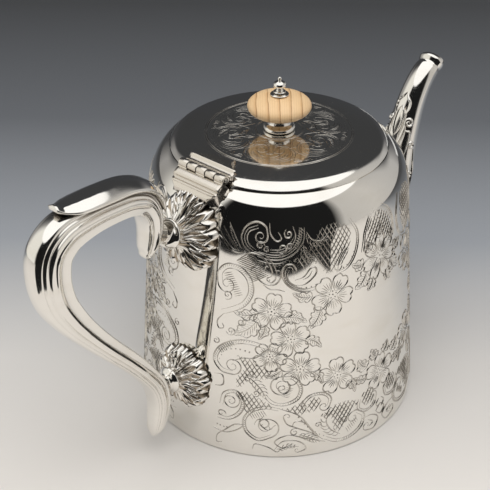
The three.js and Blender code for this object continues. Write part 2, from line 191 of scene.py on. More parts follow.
def new_material(name):
    material = bpy.data.materials.new(name)
    material.use_nodes = True
    nodes = Nodes(material.node_tree)
    place = nodes.add("TexCoord").outputs["Object"]
    return material, nodes, place


def close_material(nodes, **inputs):
    keys = {key.replace("_", " "): value for key, value in inputs.items()}
    shader = nodes.add("BsdfPrincipled", keys)
    nodes.add("OutputMaterial", {"Surface": shader.outputs[0]})


# ---------------------------------------------------------------- stage
def make_floor_material():
    """Pale round the pot and greyer behind it, with a fine speck. The greying is partly a graduated backdrop and
    partly painted shade, standing in for the light that falls off behind the pot.
    """
    material, nodes, place = new_material("pale_floor")
    behind = nodes.vectors("DOT_PRODUCT", place, tuple(-FRONT))
    limits = {"Value": behind, "From Min": -0.1, "From Max": 0.6}
    # painted shade: the floor's colour darkens and cools behind the pot, partly as a graduated backdrop and partly
    # in place of the light falling off there
    grade_and_painted_shade = nodes.ramp(
        nodes.add("MapRange", limits).outputs[0],
        [
            (0, (0.80, 0.77, 0.74)),
            (0.15, (0.66, 0.645, 0.63)),
            (0.32, (0.315, 0.335, 0.37)),
            (0.56, (0.12, 0.13, 0.147)),
            (0.9, (0.044, 0.047, 0.053)),
        ],
    )
    speck = nodes.noise(place, 900, 3)
    colour = nodes.mix(nodes.times(speck, 0.05), grade_and_painted_shade, (0.7, 0.69, 0.68))
    close_material(nodes, Base_Color=colour, Roughness=0.75, Specular_IOR_Level=0.2)
    return material


FLOOR_RADIUS = 1.6
FLOOR_DROP = 0.0002


def make_floor():
    mesh = bpy.data.meshes.new("floor")
    bm = bmesh.new()
    bmesh.ops.create_circle(bm, cap_ends=True, segments=96, radius=FLOOR_RADIUS)
    bm.to_mesh(mesh)
    bm.free()
    floor = bpy.data.objects.new("floor", mesh)
    floor.location.z = -FLOOR_DROP
    mesh.materials.append(make_floor_material())
    scene.collection.objects.link(floor)
    floor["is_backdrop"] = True


CANOPY_TILT = math.radians(88)
CANOPY_REACH = 42
CANOPY_EDGE = 0.8


def mirrored_room(nodes, direction, frontness, rightness):
    """What the silver mirrors: walls that change round the room and one big soft light overhead."""
    walls = nodes.ramp(
        frontness,
        [
            (0, (0.05, 0.052, 0.057)),
            (0.06, (0.08, 0.08, 0.085)),
            (0.15, (0.46, 0.45, 0.44)),
            (0.5, (0.6, 0.575, 0.54)),
            (0.77, (0.55, 0.53, 0.5)),
            (0.835, (0.012, 0.012, 0.012)),
        ],
    )
    left_shade = nodes.ramp(rightness, [(0, (0.6, 0.6, 0.6)), (0.6, (1, 1, 1))])
    room = nodes.vectors("MULTIPLY", walls, left_shade)
    height = nodes.add("SeparateXYZ", {0: direction}).outputs[2]
    beside_pot = nodes.times(nodes.smoothstep(frontness, 0.2, 0.42), nodes.smoothstep(frontness, 0.82, 0.74))
    high_left = nodes.times(nodes.smoothstep(height, 0.15, 0.62), nodes.smoothstep(rightness, 0.62, 0.4))
    room = nodes.mix(nodes.times(beside_pot, high_left), room, (0.86, 0.85, 0.82))
    far_left = nodes.times(beside_pot, nodes.smoothstep(rightness, 0.3, 0.08))
    room = nodes.mix(far_left, room, (0.85, 0.83, 0.77))
    high_behind = nodes.times(nodes.smoothstep(height, 0.2, 0.42), nodes.smoothstep(frontness, 0.26, 0.1))
    room = nodes.mix(high_behind, room, (0.047, 0.048, 0.05))
    axis = FRONT * math.cos(CANOPY_TILT) + UP * math.sin(CANOPY_TILT)
    edges = [math.cos(math.radians(CANOPY_REACH + edge)) for edge in (CANOPY_EDGE, -CANOPY_EDGE)]
    canopy = nodes.smoothstep(nodes.vectors("DOT_PRODUCT", direction, tuple(axis)), *edges)
    return nodes.mix(canopy, room, (1.15, 1.14, 1.12))


def make_world():
    """A room that only lights and reflections see; the camera sees a plain sweep, dark behind the pot."""
    world = bpy.data.worlds.new("studio")
    scene.world = world
    world.use_nodes = True
    nodes = Nodes(world.node_tree)
    direction = nodes.add("TexCoord").outputs["Generated"]
    flat = nodes.vectors("NORMALIZE", nodes.vectors("MULTIPLY", direction, (1, 1, 0)))

    def share_towards(side):
        return nodes.maths("MULTIPLY_ADD", nodes.vectors("DOT_PRODUCT", flat, tuple(side)), 0.5, 0.5)

    frontness, rightness = share_towards(FRONT), share_towards(RIGHT)
    room = mirrored_room(nodes, direction, frontness, rightness)
    sweep = [(0, (0.042, 0.046, 0.052)), (0.5, (0.3, 0.3, 0.31)), (1, (0.62, 0.6, 0.58))]
    is_camera = nodes.add("LightPath").outputs["Is Camera Ray"]
    colour = nodes.mix(is_camera, room, nodes.ramp(frontness, sweep))
    background = nodes.add("Background", {"Color": colour, "Strength": 1})
    nodes.add("OutputWorld", {"Surface": background.outputs[0]})


LIGHT_PLACE = FRONT * 0.35 + UP * 1.1
LIGHT_SIZE = 0.9
LIGHT_ENERGY = 5.25


def make_light():
    data = bpy.data.lights.new("overhead", "AREA")
    data.shape = "DISK"
    data.size = LIGHT_SIZE
    data.energy = LIGHT_ENERGY
    data.color = (1, 0.98, 0.95)
    light = bpy.data.objects.new("overhead", data)
    light.location = LIGHT_PLACE
    light.rotation_euler = (-LIGHT_PLACE).to_track_quat("-Z", "Y").to_euler()
    light.visible_glossy = False
    scene.collection.objects.link(light)


def make_card(name, corners, tone):
    """A card that only reflections see: it gives the silver something dark or light to mirror."""
    material, nodes, _ = new_material(name)
    glow = nodes.add("Emission", {"Color": (tone, tone, tone, 1), "Strength": 1})
    nodes.add("OutputMaterial", {"Surface": glow.outputs[0]})
    mesh = bpy.data.meshes.new(name)
    mesh.from_pydata(corners, [], [tuple(range(len(corners)))])
    mesh.materials.append(material)
    card = bpy.data.objects.new(name, mesh)
    for flag in ("visible_camera", "visible_diffuse", "visible_shadow", "visible_transmission"):
        setattr(card, flag, False)
    scene.collection.objects.link(card)
    card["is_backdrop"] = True


def make_front_flag():
    """A dark sheet that lies on the floor in front of the pot, from near its foot outwards."""
    # [distance in front of the pot's axis, distance to the right] in metres
    near_edge = [(0.205, -0.2), (0.27, -0.12), (0.27, -0.03), (0.262, 0.06), (0.252, 0.135), (0.2, 0.165)]
    far_edge = [(1.58, 1.75), (1.58, -1.75)]
    corners = [FRONT * ahead + RIGHT * right + UP * 0.001 for ahead, right in near_edge + far_edge]
    make_card("front_flag", corners, 0.012)


def make_rim_card():
    """A low pale card behind the pot on the right, which gives the rims there a bright edge."""
    outline = ((0.2, 0.01), (0.7, 0.01), (0.7, 0.09), (0.2, 0.09))
    corners = [RIGHT * right + UP * height - FRONT * 0.9 for right, height in outline]
    make_card("rim_card", corners, 0.7)


make_floor()
make_world()
make_light()
make_front_flag()
make_rim_card()


# ---------------------------------------------------------------- materials
def polished_silver(name, tint=(0.89, 0.87, 0.83), dull=0.06, crevices=False, scratches=1):
    """Hand-polished silver with smears, hair scratches and, in crevices, brown tarnish."""
    material, nodes, place = new_material(name)
    broad = nodes.noise(place, 14, 2)
    smear = nodes.noise(nodes.stretched(place, (1, 1, 2.6)), 55, 4)
    fine = nodes.noise(nodes.stretched(place, (900, 900, 60)), 1, 2)
    hairs = nodes.noise(nodes.stretched(place, (40, 1500, 700), (0.5, 0.4, 0.9)), 1, 3)
    marks = nodes.smoothstep(hairs, 0.62, 0.8)
    roughness = nodes.maths("MULTIPLY_ADD", smear, dull, dull * 0.6)
    roughness = nodes.maths("ADD", roughness, nodes.times(marks, 0.05 * scratches))
    worn = nodes.smoothstep(smear, 0.45, 0.8)
    darker = tuple(c * s for c, s in zip(tint, (0.9, 0.88, 0.84)))
    colour = nodes.mix(nodes.times(worn, 0.5), tint, darker)
    if crevices:
        hidden = nodes.add("AmbientOcclusion", {"Distance": 0.004}, samples=6).outputs["AO"]
        tarnish = nodes.smoothstep(hidden, 0.86, 0.3)
        stain = nodes.ramp(tarnish, [(0.2, (0.5, 0.42, 0.32)), (0.75, (0.1, 0.08, 0.06))])
        colour = nodes.mix(nodes.times(tarnish, 0.92), colour, stain)
        roughness = nodes.maths("ADD", roughness, nodes.times(tarnish, 0.2))
    wave = nodes.bump(broad, 0.00006)
    grain = nodes.bump(fine, 0.0000015 * scratches, normal=wave)
    close_material(nodes, Base_Color=colour, Metallic=1, Roughness=roughness, Normal=grain)
    return material


def engraved_silver():
    """The engraving's lines: duller silver, darker in patches. The dark colour is partly tarnish and partly
    painted shade, standing in for the shade inside cut grooves, which these raised ridges lack.
    """
    material, nodes, place = new_material("engraved_silver")
    tarnish_and_shade_patches = nodes.noise(place, 130, 3)
    # painted shade: the lines' colour is darkened partly as tarnish and partly for the shade that a cut groove
    # would hold
    colour = nodes.ramp(tarnish_and_shade_patches, [(0.3, (0.36, 0.335, 0.3)), (0.7, (0.72, 0.69, 0.64))])
    roughness = nodes.maths("MULTIPLY_ADD", tarnish_and_shade_patches, 0.15, 0.12)
    grain = nodes.bump(nodes.noise(place, 2500, 2), 0.00002)
    close_material(nodes, Base_Color=colour, Metallic=1, Roughness=roughness, Normal=grain)
    return material


def dull_silver():
    """Unpolished silver with stains and turning marks, for the inside and the underside."""
    material, nodes, place = new_material("dull_silver")
    stain = nodes.noise(place, 30, 5)
    turning = nodes.noise(nodes.stretched(place, (300, 300, 2500)), 1, 2)
    colour = nodes.ramp(stain, [(0.35, (0.42, 0.39, 0.35)), (0.65, (0.66, 0.64, 0.6))])
    roughness = nodes.maths("MULTIPLY_ADD", stain, 0.25, 0.2)
    close_material(
        nodes,
        Base_Color=colour,
        Metallic=1,
        Roughness=roughness,
        Normal=nodes.bump(turning, 0.00001),
    )
    return material


GRAIN_TURN = math.radians(48.16)


def knob_wood():
    """Waxed pale wood with its year rings in section, fine grain lines and pores."""
    material, nodes, place = new_material("knob_wood")
    axis = nodes.stretched(place, (1, 1, 1), (0, 0, GRAIN_TURN))
    wobble = nodes.noise(place, 90, 2)

    def growth(scale, distortion):
        inputs = {"Vector": axis, "Scale": scale, "Distortion": distortion, "Detail": 2, "Detail Scale": 0.8}
        settings = {"wave_type": "BANDS", "bands_direction": "X", "wave_profile": "SAW"}
        return nodes.add("TexWave", inputs, **settings).outputs["Fac"]

    rings = growth(62, 1.6)
    fine_rings = growth(290, 2.4)
    pores = nodes.noise(nodes.stretched(axis, (3, 1, 1)), 1400, 3)
    colour = nodes.ramp(
        rings,
        [
            (0, (0.86, 0.61, 0.35)),
            (0.7, (0.84, 0.58, 0.32)),
            (0.9, (0.7, 0.44, 0.22)),
            (0.97, (0.3, 0.15, 0.06)),
            (1, (0.6, 0.36, 0.17)),
        ],
    )
    for pattern, low, high, strength, tint in (
        (fine_rings, 0.5, 1, 0.22, (0.52, 0.3, 0.13)),
        (wobble, 0.4, 0.8, 0.5, (0.87, 0.64, 0.39)),
        (pores, 0.6, 0.75, 0.3, (0.45, 0.26, 0.11)),
    ):
        colour = nodes.mix(nodes.times(nodes.smoothstep(pattern, low, high), strength), colour, tint)
    height = nodes.maths("ADD", nodes.times(rings, -0.4), pores)
    close_material(
        nodes,
        Base_Color=colour,
        Roughness=0.42,
        Normal=nodes.bump(height, 0.00005),
        Coat_Weight=0.15,
        Coat_Roughness=0.3,
    )
    return material


SILVER = polished_silver("polished_silver", dull=0.045)
CAST_SILVER = polished_silver("cast_silver", dull=0.09, crevices=True)
HINGE_SILVER = polished_silver("hinge_silver", tint=(0.8, 0.75, 0.68), dull=0.16, crevices=True)
HOLLOW_SILVER = polished_silver("hollow_silver", tint=(0.52, 0.44, 0.35), dull=0.3, crevices=True)
LID_SILVER = polished_silver("lid_silver", dull=0.09, scratches=3)
ENGRAVED = engraved_silver()
DULL = dull_silver()
WOOD = knob_wood()


# ---------------------------------------------------------------- mesh helpers
def piece(name, parts, material, body, stands_for=None, sharp=38, solid=True):
    """One object from (vertices in mm, faces) parts, riding on a body; a solid's faces look outwards."""
    vertices, faces = [], []
    for part_vertices, part_faces in parts:
        start = len(vertices)
        vertices.extend(tuple(float(c) * MM for c in v) for v in part_vertices)
        faces.extend(tuple(i + start for i in face) for face in part_faces)
    mesh = bpy.data.meshes.new(name)
    mesh.from_pydata(vertices, [], faces)
    if solid:
        bm = bmesh.new()
        bm.from_mesh(mesh)
        bmesh.ops.recalc_face_normals(bm, faces=bm.faces)
        bm.to_mesh(mesh)
        bm.free()
    mesh.materials.append(material)
    mesh.shade_smooth()
    mesh.set_sharp_from_angle(angle=math.radians(sharp))
    obj = bpy.data.objects.new(name, mesh)
    scene.collection.objects.link(obj)
    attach(obj, body)
    if stands_for:
        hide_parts(stands_for)
    return obj


def curve_through(points, steps):
    """A centripetal Catmull-Rom curve through points, with steps samples on each stretch."""
    p = np.array(points, float)
    p = np.vstack([2 * p[0] - p[1], p, 2 * p[-1] - p[-2]])
    gaps = np.maximum(np.linalg.norm(np.diff(p, axis=0), axis=1) ** 0.5, 1e-6)
    out = []
    for i in range(1, len(p) - 2):
        d0, d1, d2 = gaps[i - 1], gaps[i], gaps[i + 1]
        m1 = (p[i] - p[i - 1]) / d0 - (p[i + 1] - p[i - 1]) / (d0 + d1) + (p[i + 1] - p[i]) / d1
        m2 = (p[i + 1] - p[i]) / d1 - (p[i + 2] - p[i]) / (d1 + d2) + (p[i + 2] - p[i + 1]) / d2
        m1, m2 = m1 * d1, m2 * d1
        for k in range(steps):
            t = k / steps
            h = (2 * t**3 - 3 * t**2 + 1, t**3 - 2 * t**2 + t, 3 * t**2 - 2 * t**3, t**3 - t**2)
            out.append(h[0] * p[i] + h[1] * m1 + h[2] * p[i + 1] + h[3] * m2)
    out.append(p[-2])
    return np.array(out)


def headings(path):
    """Unit vectors along a path, one at each of its points."""
    ahead = np.gradient(path, axis=0)
    return ahead / np.maximum(np.linalg.norm(ahead, axis=1), 1e-9)[:, None]


def lengths_along(path):
    return np.concatenate([[0], np.cumsum(np.linalg.norm(np.diff(path, axis=0), axis=1))])


def turned_left(vectors):
    return np.column_stack([-vectors[:, 1], vectors[:, 0]])


def circle_points(count):
    """(cosine, sine) of count equal steps round a full turn."""
    turns = (2 * math.pi * k / count for k in range(count))
    return [(math.cos(turn), math.sin(turn)) for turn in turns]


def lathe(profile, segments=96, closed=True):
    """A surface of revolution about Z from (radius, z) points; points on the axis become poles."""
    vertices, rows = [], []
    for r, z in profile:
        if r < 1e-6:
            rows.append([len(vertices)] * segments)
            vertices.append((0, 0, z))
        else:
            rows.append(list(range(len(vertices), len(vertices) + segments)))
            vertices += [(r * cosine, r * sine, z) for cosine, sine in circle_points(segments)]
    faces = []
    pairs = list(zip(rows, rows[1:]))
    if closed:
        pairs.append((rows[-1], rows[0]))
    for low, high in pairs:
        for i in range(segments):
            j = (i + 1) % segments
            face = list(dict.fromkeys((low[i], low[j], high[j], high[i])))
            if len(face) > 2:
                faces.append(tuple(face))
    return vertices, faces


def grid(rings, caps=(True, True)):
    """A skin over closed rings of equal point count, which may end in a fan at its start and its end."""
    count = len(rings[0])
    vertices = [tuple(p) for ring in rings for p in ring]
    faces = []
    for i in range(len(rings) - 1):
        for j in range(count):
            k = (j + 1) % count
            faces.append((i * count + j, i * count + k, (i + 1) * count + k, (i + 1) * count + j))
    for use, row, flip in ((caps[0], 0, True), (caps[1], len(rings) - 1, False)):
        if use:
            loop = [row * count + j for j in range(count)]
            centre = len(vertices)
            vertices.append(tuple(np.mean([vertices[i] for i in loop], axis=0)))
            for j in range(count):
                a, b = loop[j], loop[(j + 1) % count]
                faces.append((b, a, centre) if flip else (a, b, centre))
    return vertices, faces


def sweep_frames(guide, steps):
    """Places, out vectors, sizes and headings along a guide of [x, z, size a, size b] in the XZ plane."""
    guide = np.array(guide, float)
    path = curve_through(guide[:, :2], steps)
    sizes = curve_through(np.column_stack([np.arange(len(guide)) * 3, guide[:, 2:]]), steps)[:, 1:]
    ahead = headings(path)
    return path, turned_left(ahead), sizes, ahead


def rounded_ends(path, out, sizes, ahead, reaches, steps=7):
    """Adds shrinking rings past both ends, so that a sweep closes in a rounded nose."""
    noses = []
    for side, end, reach in ((-1, 0, reaches[0]), (1, -1, reaches[1])):
        nose = []
        for k in range(1, steps + 1):
            a = (math.pi / 2) * k / steps * 0.97
            step = side * reach * sizes[end].min() * math.sin(a)
            nose.append((path[end] + ahead[end] * step, out[end], sizes[end] * math.cos(a)))
        noses.append(nose)
    return noses[0][::-1] + list(zip(path, out, sizes)) + noses[1]


def ring_at(centre, out, section):
    """A section of (across, up) points, stood at a place on a sweep."""
    x, z = centre
    return [(x + out[0] * up, across, z + out[1] * up) for across, up in section]


def mirrored_section(half):
    return half + [(-across, up) for across, up in half[::-1] if across > 1e-9]


def swept(guide, section, steps, reaches):
    """A skin along a guide, with its unit section scaled by the guide's sizes."""
    rings = []
    for centre, out, (a, b) in rounded_ends(*sweep_frames(guide, steps), reaches):
        rings.append(ring_at(centre, out, [(across * a, up * b) for across, up in section]))
    return grid(rings)


def facing(part, outward):
    """Turns round the faces of a part that don't look the way outward(their middle) points."""
    vertices, faces = part
    points = np.array(vertices)
    turned = []
    for face in faces:
        a, b, c = points[list(face[:3])]
        looks_out = np.dot(np.cross(b - a, c - a), outward((a + b + c) / 3)) > 0
        turned.append(face if looks_out else face[::-1])
    return vertices, turned


# ---------------------------------------------------------------- the pot's outline
def outside_radius(z):
    """Radius of the pot's outside at a height: a tapered wall that rolls over into the shoulder."""
    wall = BASE_RADIUS - WALL_TAPER * z
    if z <= SHOULDER_Z:
        return wall
    rise = min(1, (z - SHOULDER_Z) / (RIM_Z - SHOULDER_Z)) * math.sin(SHOULDER_TURN)
    fall_in = (1 - math.sqrt(1 - rise * rise)) / (1 - math.cos(SHOULDER_TURN))
    return wall - (wall - RIM_RADIUS) * fall_in


def shoulder(offset, steps):
    """(radius, z) points up the shoulder, set out from it, or in from it, by offset."""
    for i in range(steps + 1):
        rise = math.sin((math.pi / 2) * i / steps)
        z = SHOULDER_Z + (RIM_Z - SHOULDER_Z) * rise
        yield outside_radius(z) + offset, z + offset * rise


def body_profile():
    foot = [(BASE_RADIUS - 0.7, 0), (BASE_RADIUS - 0.3, 0.06), (BASE_RADIUS - 0.06, 0.4)]
    wall = [(outside_radius(z), z) for z in np.linspace(1.2, SHOULDER_Z - 1, 30)]
    rim = [(RIM_RADIUS, RIM_Z - SHEET)]
    under_shoulder = list(shoulder(-SHEET, 14))[-2::-1]
    inside_wall = [(outside_radius(z) - SHEET, z) for z in np.linspace(SHOULDER_Z - 8, 0, 12)]
    return foot + wall + list(shoulder(0, 26)) + rim + under_shoulder + inside_wall


def round_x(radius, y):
    """X on the handle's side of a circle round the pot's axis, y away from the middle plane."""
    return -math.sqrt(max(1, radius * radius - y * y))


# ---------------------------------------------------------------- pieces
STRAINER_Z = 38
STRAINER_PITCH = 4.6
STRAINER_HOLE_RADIUS = 1.5
DRILL_INWARDS, DRILL_OUTWARDS = 9.7, 2.3


def make_body():
    """The drum, with the strainer holes behind the spout cut through its wall."""
    body = piece("body", [lathe(body_profile(), 288)], SILVER, "pot", "body_shell")
    places = [(0, 0)]
    for ring in (1, 2):
        reach = ring * STRAINER_PITCH
        places += [(reach * sine, reach * cosine) for cosine, sine in circle_points(6 * ring)]
    start, end = BASE_RADIUS - DRILL_INWARDS, BASE_RADIUS + DRILL_OUTWARDS
    hole = [(0, start), (STRAINER_HOLE_RADIUS, start), (STRAINER_HOLE_RADIUS, end), (0, end)]
    vertices, faces = lathe(hole, 20, closed=False)
    drills = [([(x, y + v, STRAINER_Z + z + w) for v, w, x in vertices], faces) for y, z in places]
    cutter = piece("strainer_cutter", drills, SILVER, "pot")
    cut = body.modifiers.new("strainer", "BOOLEAN")
    cut.object = cutter
    cut.operation = "DIFFERENCE"
    cut.solver = "EXACT"
    bpy.context.view_layer.update()
    drilled = bpy.data.meshes.new_from_object(body.evaluated_get(bpy.context.evaluated_depsgraph_get()))
    body.modifiers.clear()
    body.data = drilled
    bpy.data.objects.remove(cutter)


make_body()


# [radius, drop below the crown]: a low dome, then a rounded edge
LID_SLOPE = [
    (0, 0), (9, 0.02), (18, 0.28), (26, 0.55), (33.6, 0.95), (38, 1.25), (41.6, 1.6), (44.6, 1.94),
    (46.8, 2.32), (48.4, 2.98), (49.4, 3.75), (50.1, 4.5), (LID_TOP_RADIUS, 5.4),
]


def lid_top_z(radius):
    """Height of the lid's top at a radius."""
    return LID_CROWN_Z - float(np.interp(radius, *zip(*LID_SLOPE)))


def lid_profile():
    top = curve_through([(r, LID_CROWN_Z - drop) for r, drop in LID_SLOPE[1:]], 6)[::-1].tolist()
    under = [(r - 0.6, z - SHEET) for r, z in top[::-3] if r < LID_RADIUS - 2.9]
    edge = [(LID_RADIUS - 2.2, LID_LOW.z + 1.2), (LID_RADIUS - 2, LID_LOW.z), (LID_RADIUS - 0.4, LID_LOW.z)]
    first, last = (BOLT_HOLE_RADIUS, LID_CROWN_Z - SHEET), (BOLT_HOLE_RADIUS, LID_CROWN_Z)
    return [first] + under + edge + top + [last]


piece("lid", [lathe(lid_profile(), 256)], LID_SILVER, "lid", "lid_disc")

# Half of the handle's section, from the middle of its outer side: two grooves run down each flank.
KEYSTONE = [
    (0, 0.5), (0.2, 0.495), (0.36, 0.482), (0.5, 0.458), (0.6, 0.425), (0.66, 0.385), (0.675, 0.36),
    (0.665, 0.335), (0.69, 0.312), (0.755, 0.297), (0.785, 0.27), (0.79, 0.24), (0.775, 0.215), (0.78, 0.19),
    (0.82, 0.168), (0.89, 0.152), (0.92, 0.12), (0.925, 0.08), (0.915, 0.05), (0.93, 0.02), (0.975, 0),
    (0.985, -0.03), (0.96, -0.06), (0.92, -0.09), (0.88, -0.13), (0.85, -0.18), (0.835, -0.25),
    (0.835, -0.33), (0.845, -0.39), (0.86, -0.43), (0.855, -0.46), (0.82, -0.48), (0.76, -0.49),
    (0.7, -0.51), (0.5, -0.54), (0.25, -0.55), (0, -0.55),
]
# Every guide is rows of [x, z, scale of the section across, scale of the section up], in mm.
HANDLE_GUIDE = [
    (-87, 113.4, 3.4, 4.4), (-86.1, 115.4, 4.6, 6.4), (-84.9, 118.2, 5.3, 7.8), (-83.8, 122, 5.7, 8.7),
    (-83.4, 127, 6, 9.2), (-84.4, 133, 6.4, 10), (-88.5, 139.8, 6.9, 10.6), (-96, 143.8, 7.3, 11),
    (-108, 145.6, 7.6, 11.5), (-120, 145.9, 7.8, 12.8), (-131.2, 144.4, 8, 15.8), (-138.6, 138.6, 8, 16.8),
    (-140.6, 128, 7.9, 15.9), (-138.7, 116.2, 7.7, 14.8), (-132.8, 104.2, 7.4, 13), (-124.4, 91.8, 7, 11.2),
    (-114.6, 79, 6.8, 10), (-104.1, 66.2, 6.6, 9.3), (-94.6, 53.4, 6.5, 8.9), (-88, 42, 6.4, 8.5),
    (-86, 31.5, 6.2, 7.6), (-87.2, 22.5, 5.6, 6.6), (-89, 16, 4.4, 4.8), (-89.6, 13, 2, 2.4),
]


def make_handle():
    section = [(across, -up) for across, up in mirrored_section(KEYSTONE)]
    scroll = swept(HANDLE_GUIDE, section, 8, (0.75, 0.5))
    piece("handle_scroll", [scroll], CAST_SILVER, "pot", "handle")


make_handle()

LEAF_GUIDE = [
    (-133, 156.1, 3.3, 2.4), (-131.3, 154.9, 4.3, 2.9), (-128.4, 154, 5.8, 3.9), (-124.5, 153.4, 7.4, 5),
    (-119, 153, 8.2, 5.8), (-109, 152.4, 8.4, 6.2), (-97, 151, 8, 6), (-87.5, 147, 7.4, 5.6),
    (-81, 140.3, 6.6, 4.6), (-78.4, 133.5, 5, 2.8),
]
LEAF_SECTION = [
    (0, 0.5), (0.2, 0.497), (0.36, 0.48), (0.46, 0.445), (0.56, 0.38), (0.75, 0.23), (0.92, 0.085),
    (0.985, 0.01), (1, -0.06), (0.985, -0.15), (0.95, -0.2), (0.6, -0.5), (0, -0.5),
]


def make_thumb_leaf():
    leaf = swept(LEAF_GUIDE, mirrored_section(LEAF_SECTION), 10, (0.3, 0.5))
    piece("thumb_leaf", [leaf], CAST_SILVER, "pot", "handle_thumb_leaf")


make_thumb_leaf()

SPOUT_GUIDE = [
    (58, 30, 15.5, 19), (70, 37, 15.5, 17), (82, 48, 14, 14), (91.5, 64, 12.3, 11.2), (98, 82, 10.4, 9.2),
    (103.4, 100, 8.6, 7.9), (109.6, 115, 7.5, 6.9), (117.6, 126, 6.9, 6), (128, 133, 6.5, 5),
]


def lip_swell(from_mouth, backness):
    """How far the spout stands out near its mouth: a groove, then a rolled lip, fullest at the back."""
    back = 0.5 + 0.5 * backness
    roll = 1.15 * back * math.exp(-(((from_mouth - 2.4) / 1.7) ** 2))
    groove = 0.55 * (0.3 + 0.7 * back) * math.exp(-((from_mouth - 5.6) ** 2))
    return roll - groove - 0.35 * max(0, 1 - from_mouth / 0.7)


def spout_frames():
    path, out, sizes, _ = sweep_frames(SPOUT_GUIDE, 24)
    return path, out, sizes, lengths_along(path)


SPOUT_SIDES = 72
SPOUT_ROWS = 150
SPOUT_SUNK = 0.2


def spout_skin(wall):
    """Rings of points up the spout: its outside, or its inside where wall is the metal's thickness."""
    path, out, sizes, length = spout_frames()
    rings = []
    for centre, outward, (w, d), along in zip(path, out, sizes, length):
        ring = []
        for cosine, sine in circle_points(SPOUT_SIDES):
            extra = -wall if wall else lip_swell(length[-1] - along, cosine)
            ring.append(((w + extra) * sine, (d + extra) * cosine))
        rings.append(ring_at(centre, outward, ring))
    return np.array(rings)


def trimmed(points):
    """Starts every lengthwise line just inside the pot's wall."""
    gap = np.hypot(points[:, :, 0], points[:, :, 1]) - np.vectorize(outside_radius)(points[:, :, 2])
    last = len(points) - 1
    skin = np.zeros((SPOUT_ROWS + 1, SPOUT_SIDES, 3))
    for j in range(SPOUT_SIDES):
        first = int(np.argmax(gap[:, j] > -SPOUT_SUNK))
        below, above = gap[first - 1, j], gap[first, j]
        start = max(0, first - 1 - (SPOUT_SUNK + below) / (above - below)) if first > 0 else 0
        for i in range(SPOUT_ROWS + 1):
            t = start + (last - start) * i / SPOUT_ROWS
            k = min(last - 1, int(t))
            skin[i, j] = points[k, j] + (points[k + 1, j] - points[k, j]) * (t - k)
    return list(skin)


def make_spout():
    skin = trimmed(spout_skin(0)) + trimmed(spout_skin(SHEET))[::-1]
    piece("spout_neck", [grid(skin, caps=(False, False))], CAST_SILVER, "pot", "spout")


make_spout()


def make_knob():
    middle = (KNOB_LOW.z + KNOB_HIGH.z) / 2
    half = (KNOB_HIGH.z - KNOB_LOW.z) / 2
    rows = []
    for a in np.linspace(-math.pi / 2, math.pi / 2, 41):
        radius = KNOB_HIGH.x * max(0, math.cos(a)) ** 0.8
        rows.append((max(BOLT_HOLE_RADIUS, radius), middle + half * math.sin(a)))
    piece("knob_bun", [lathe(rows, 96)], WOOD, "lid", "knob_wood")


make_knob()


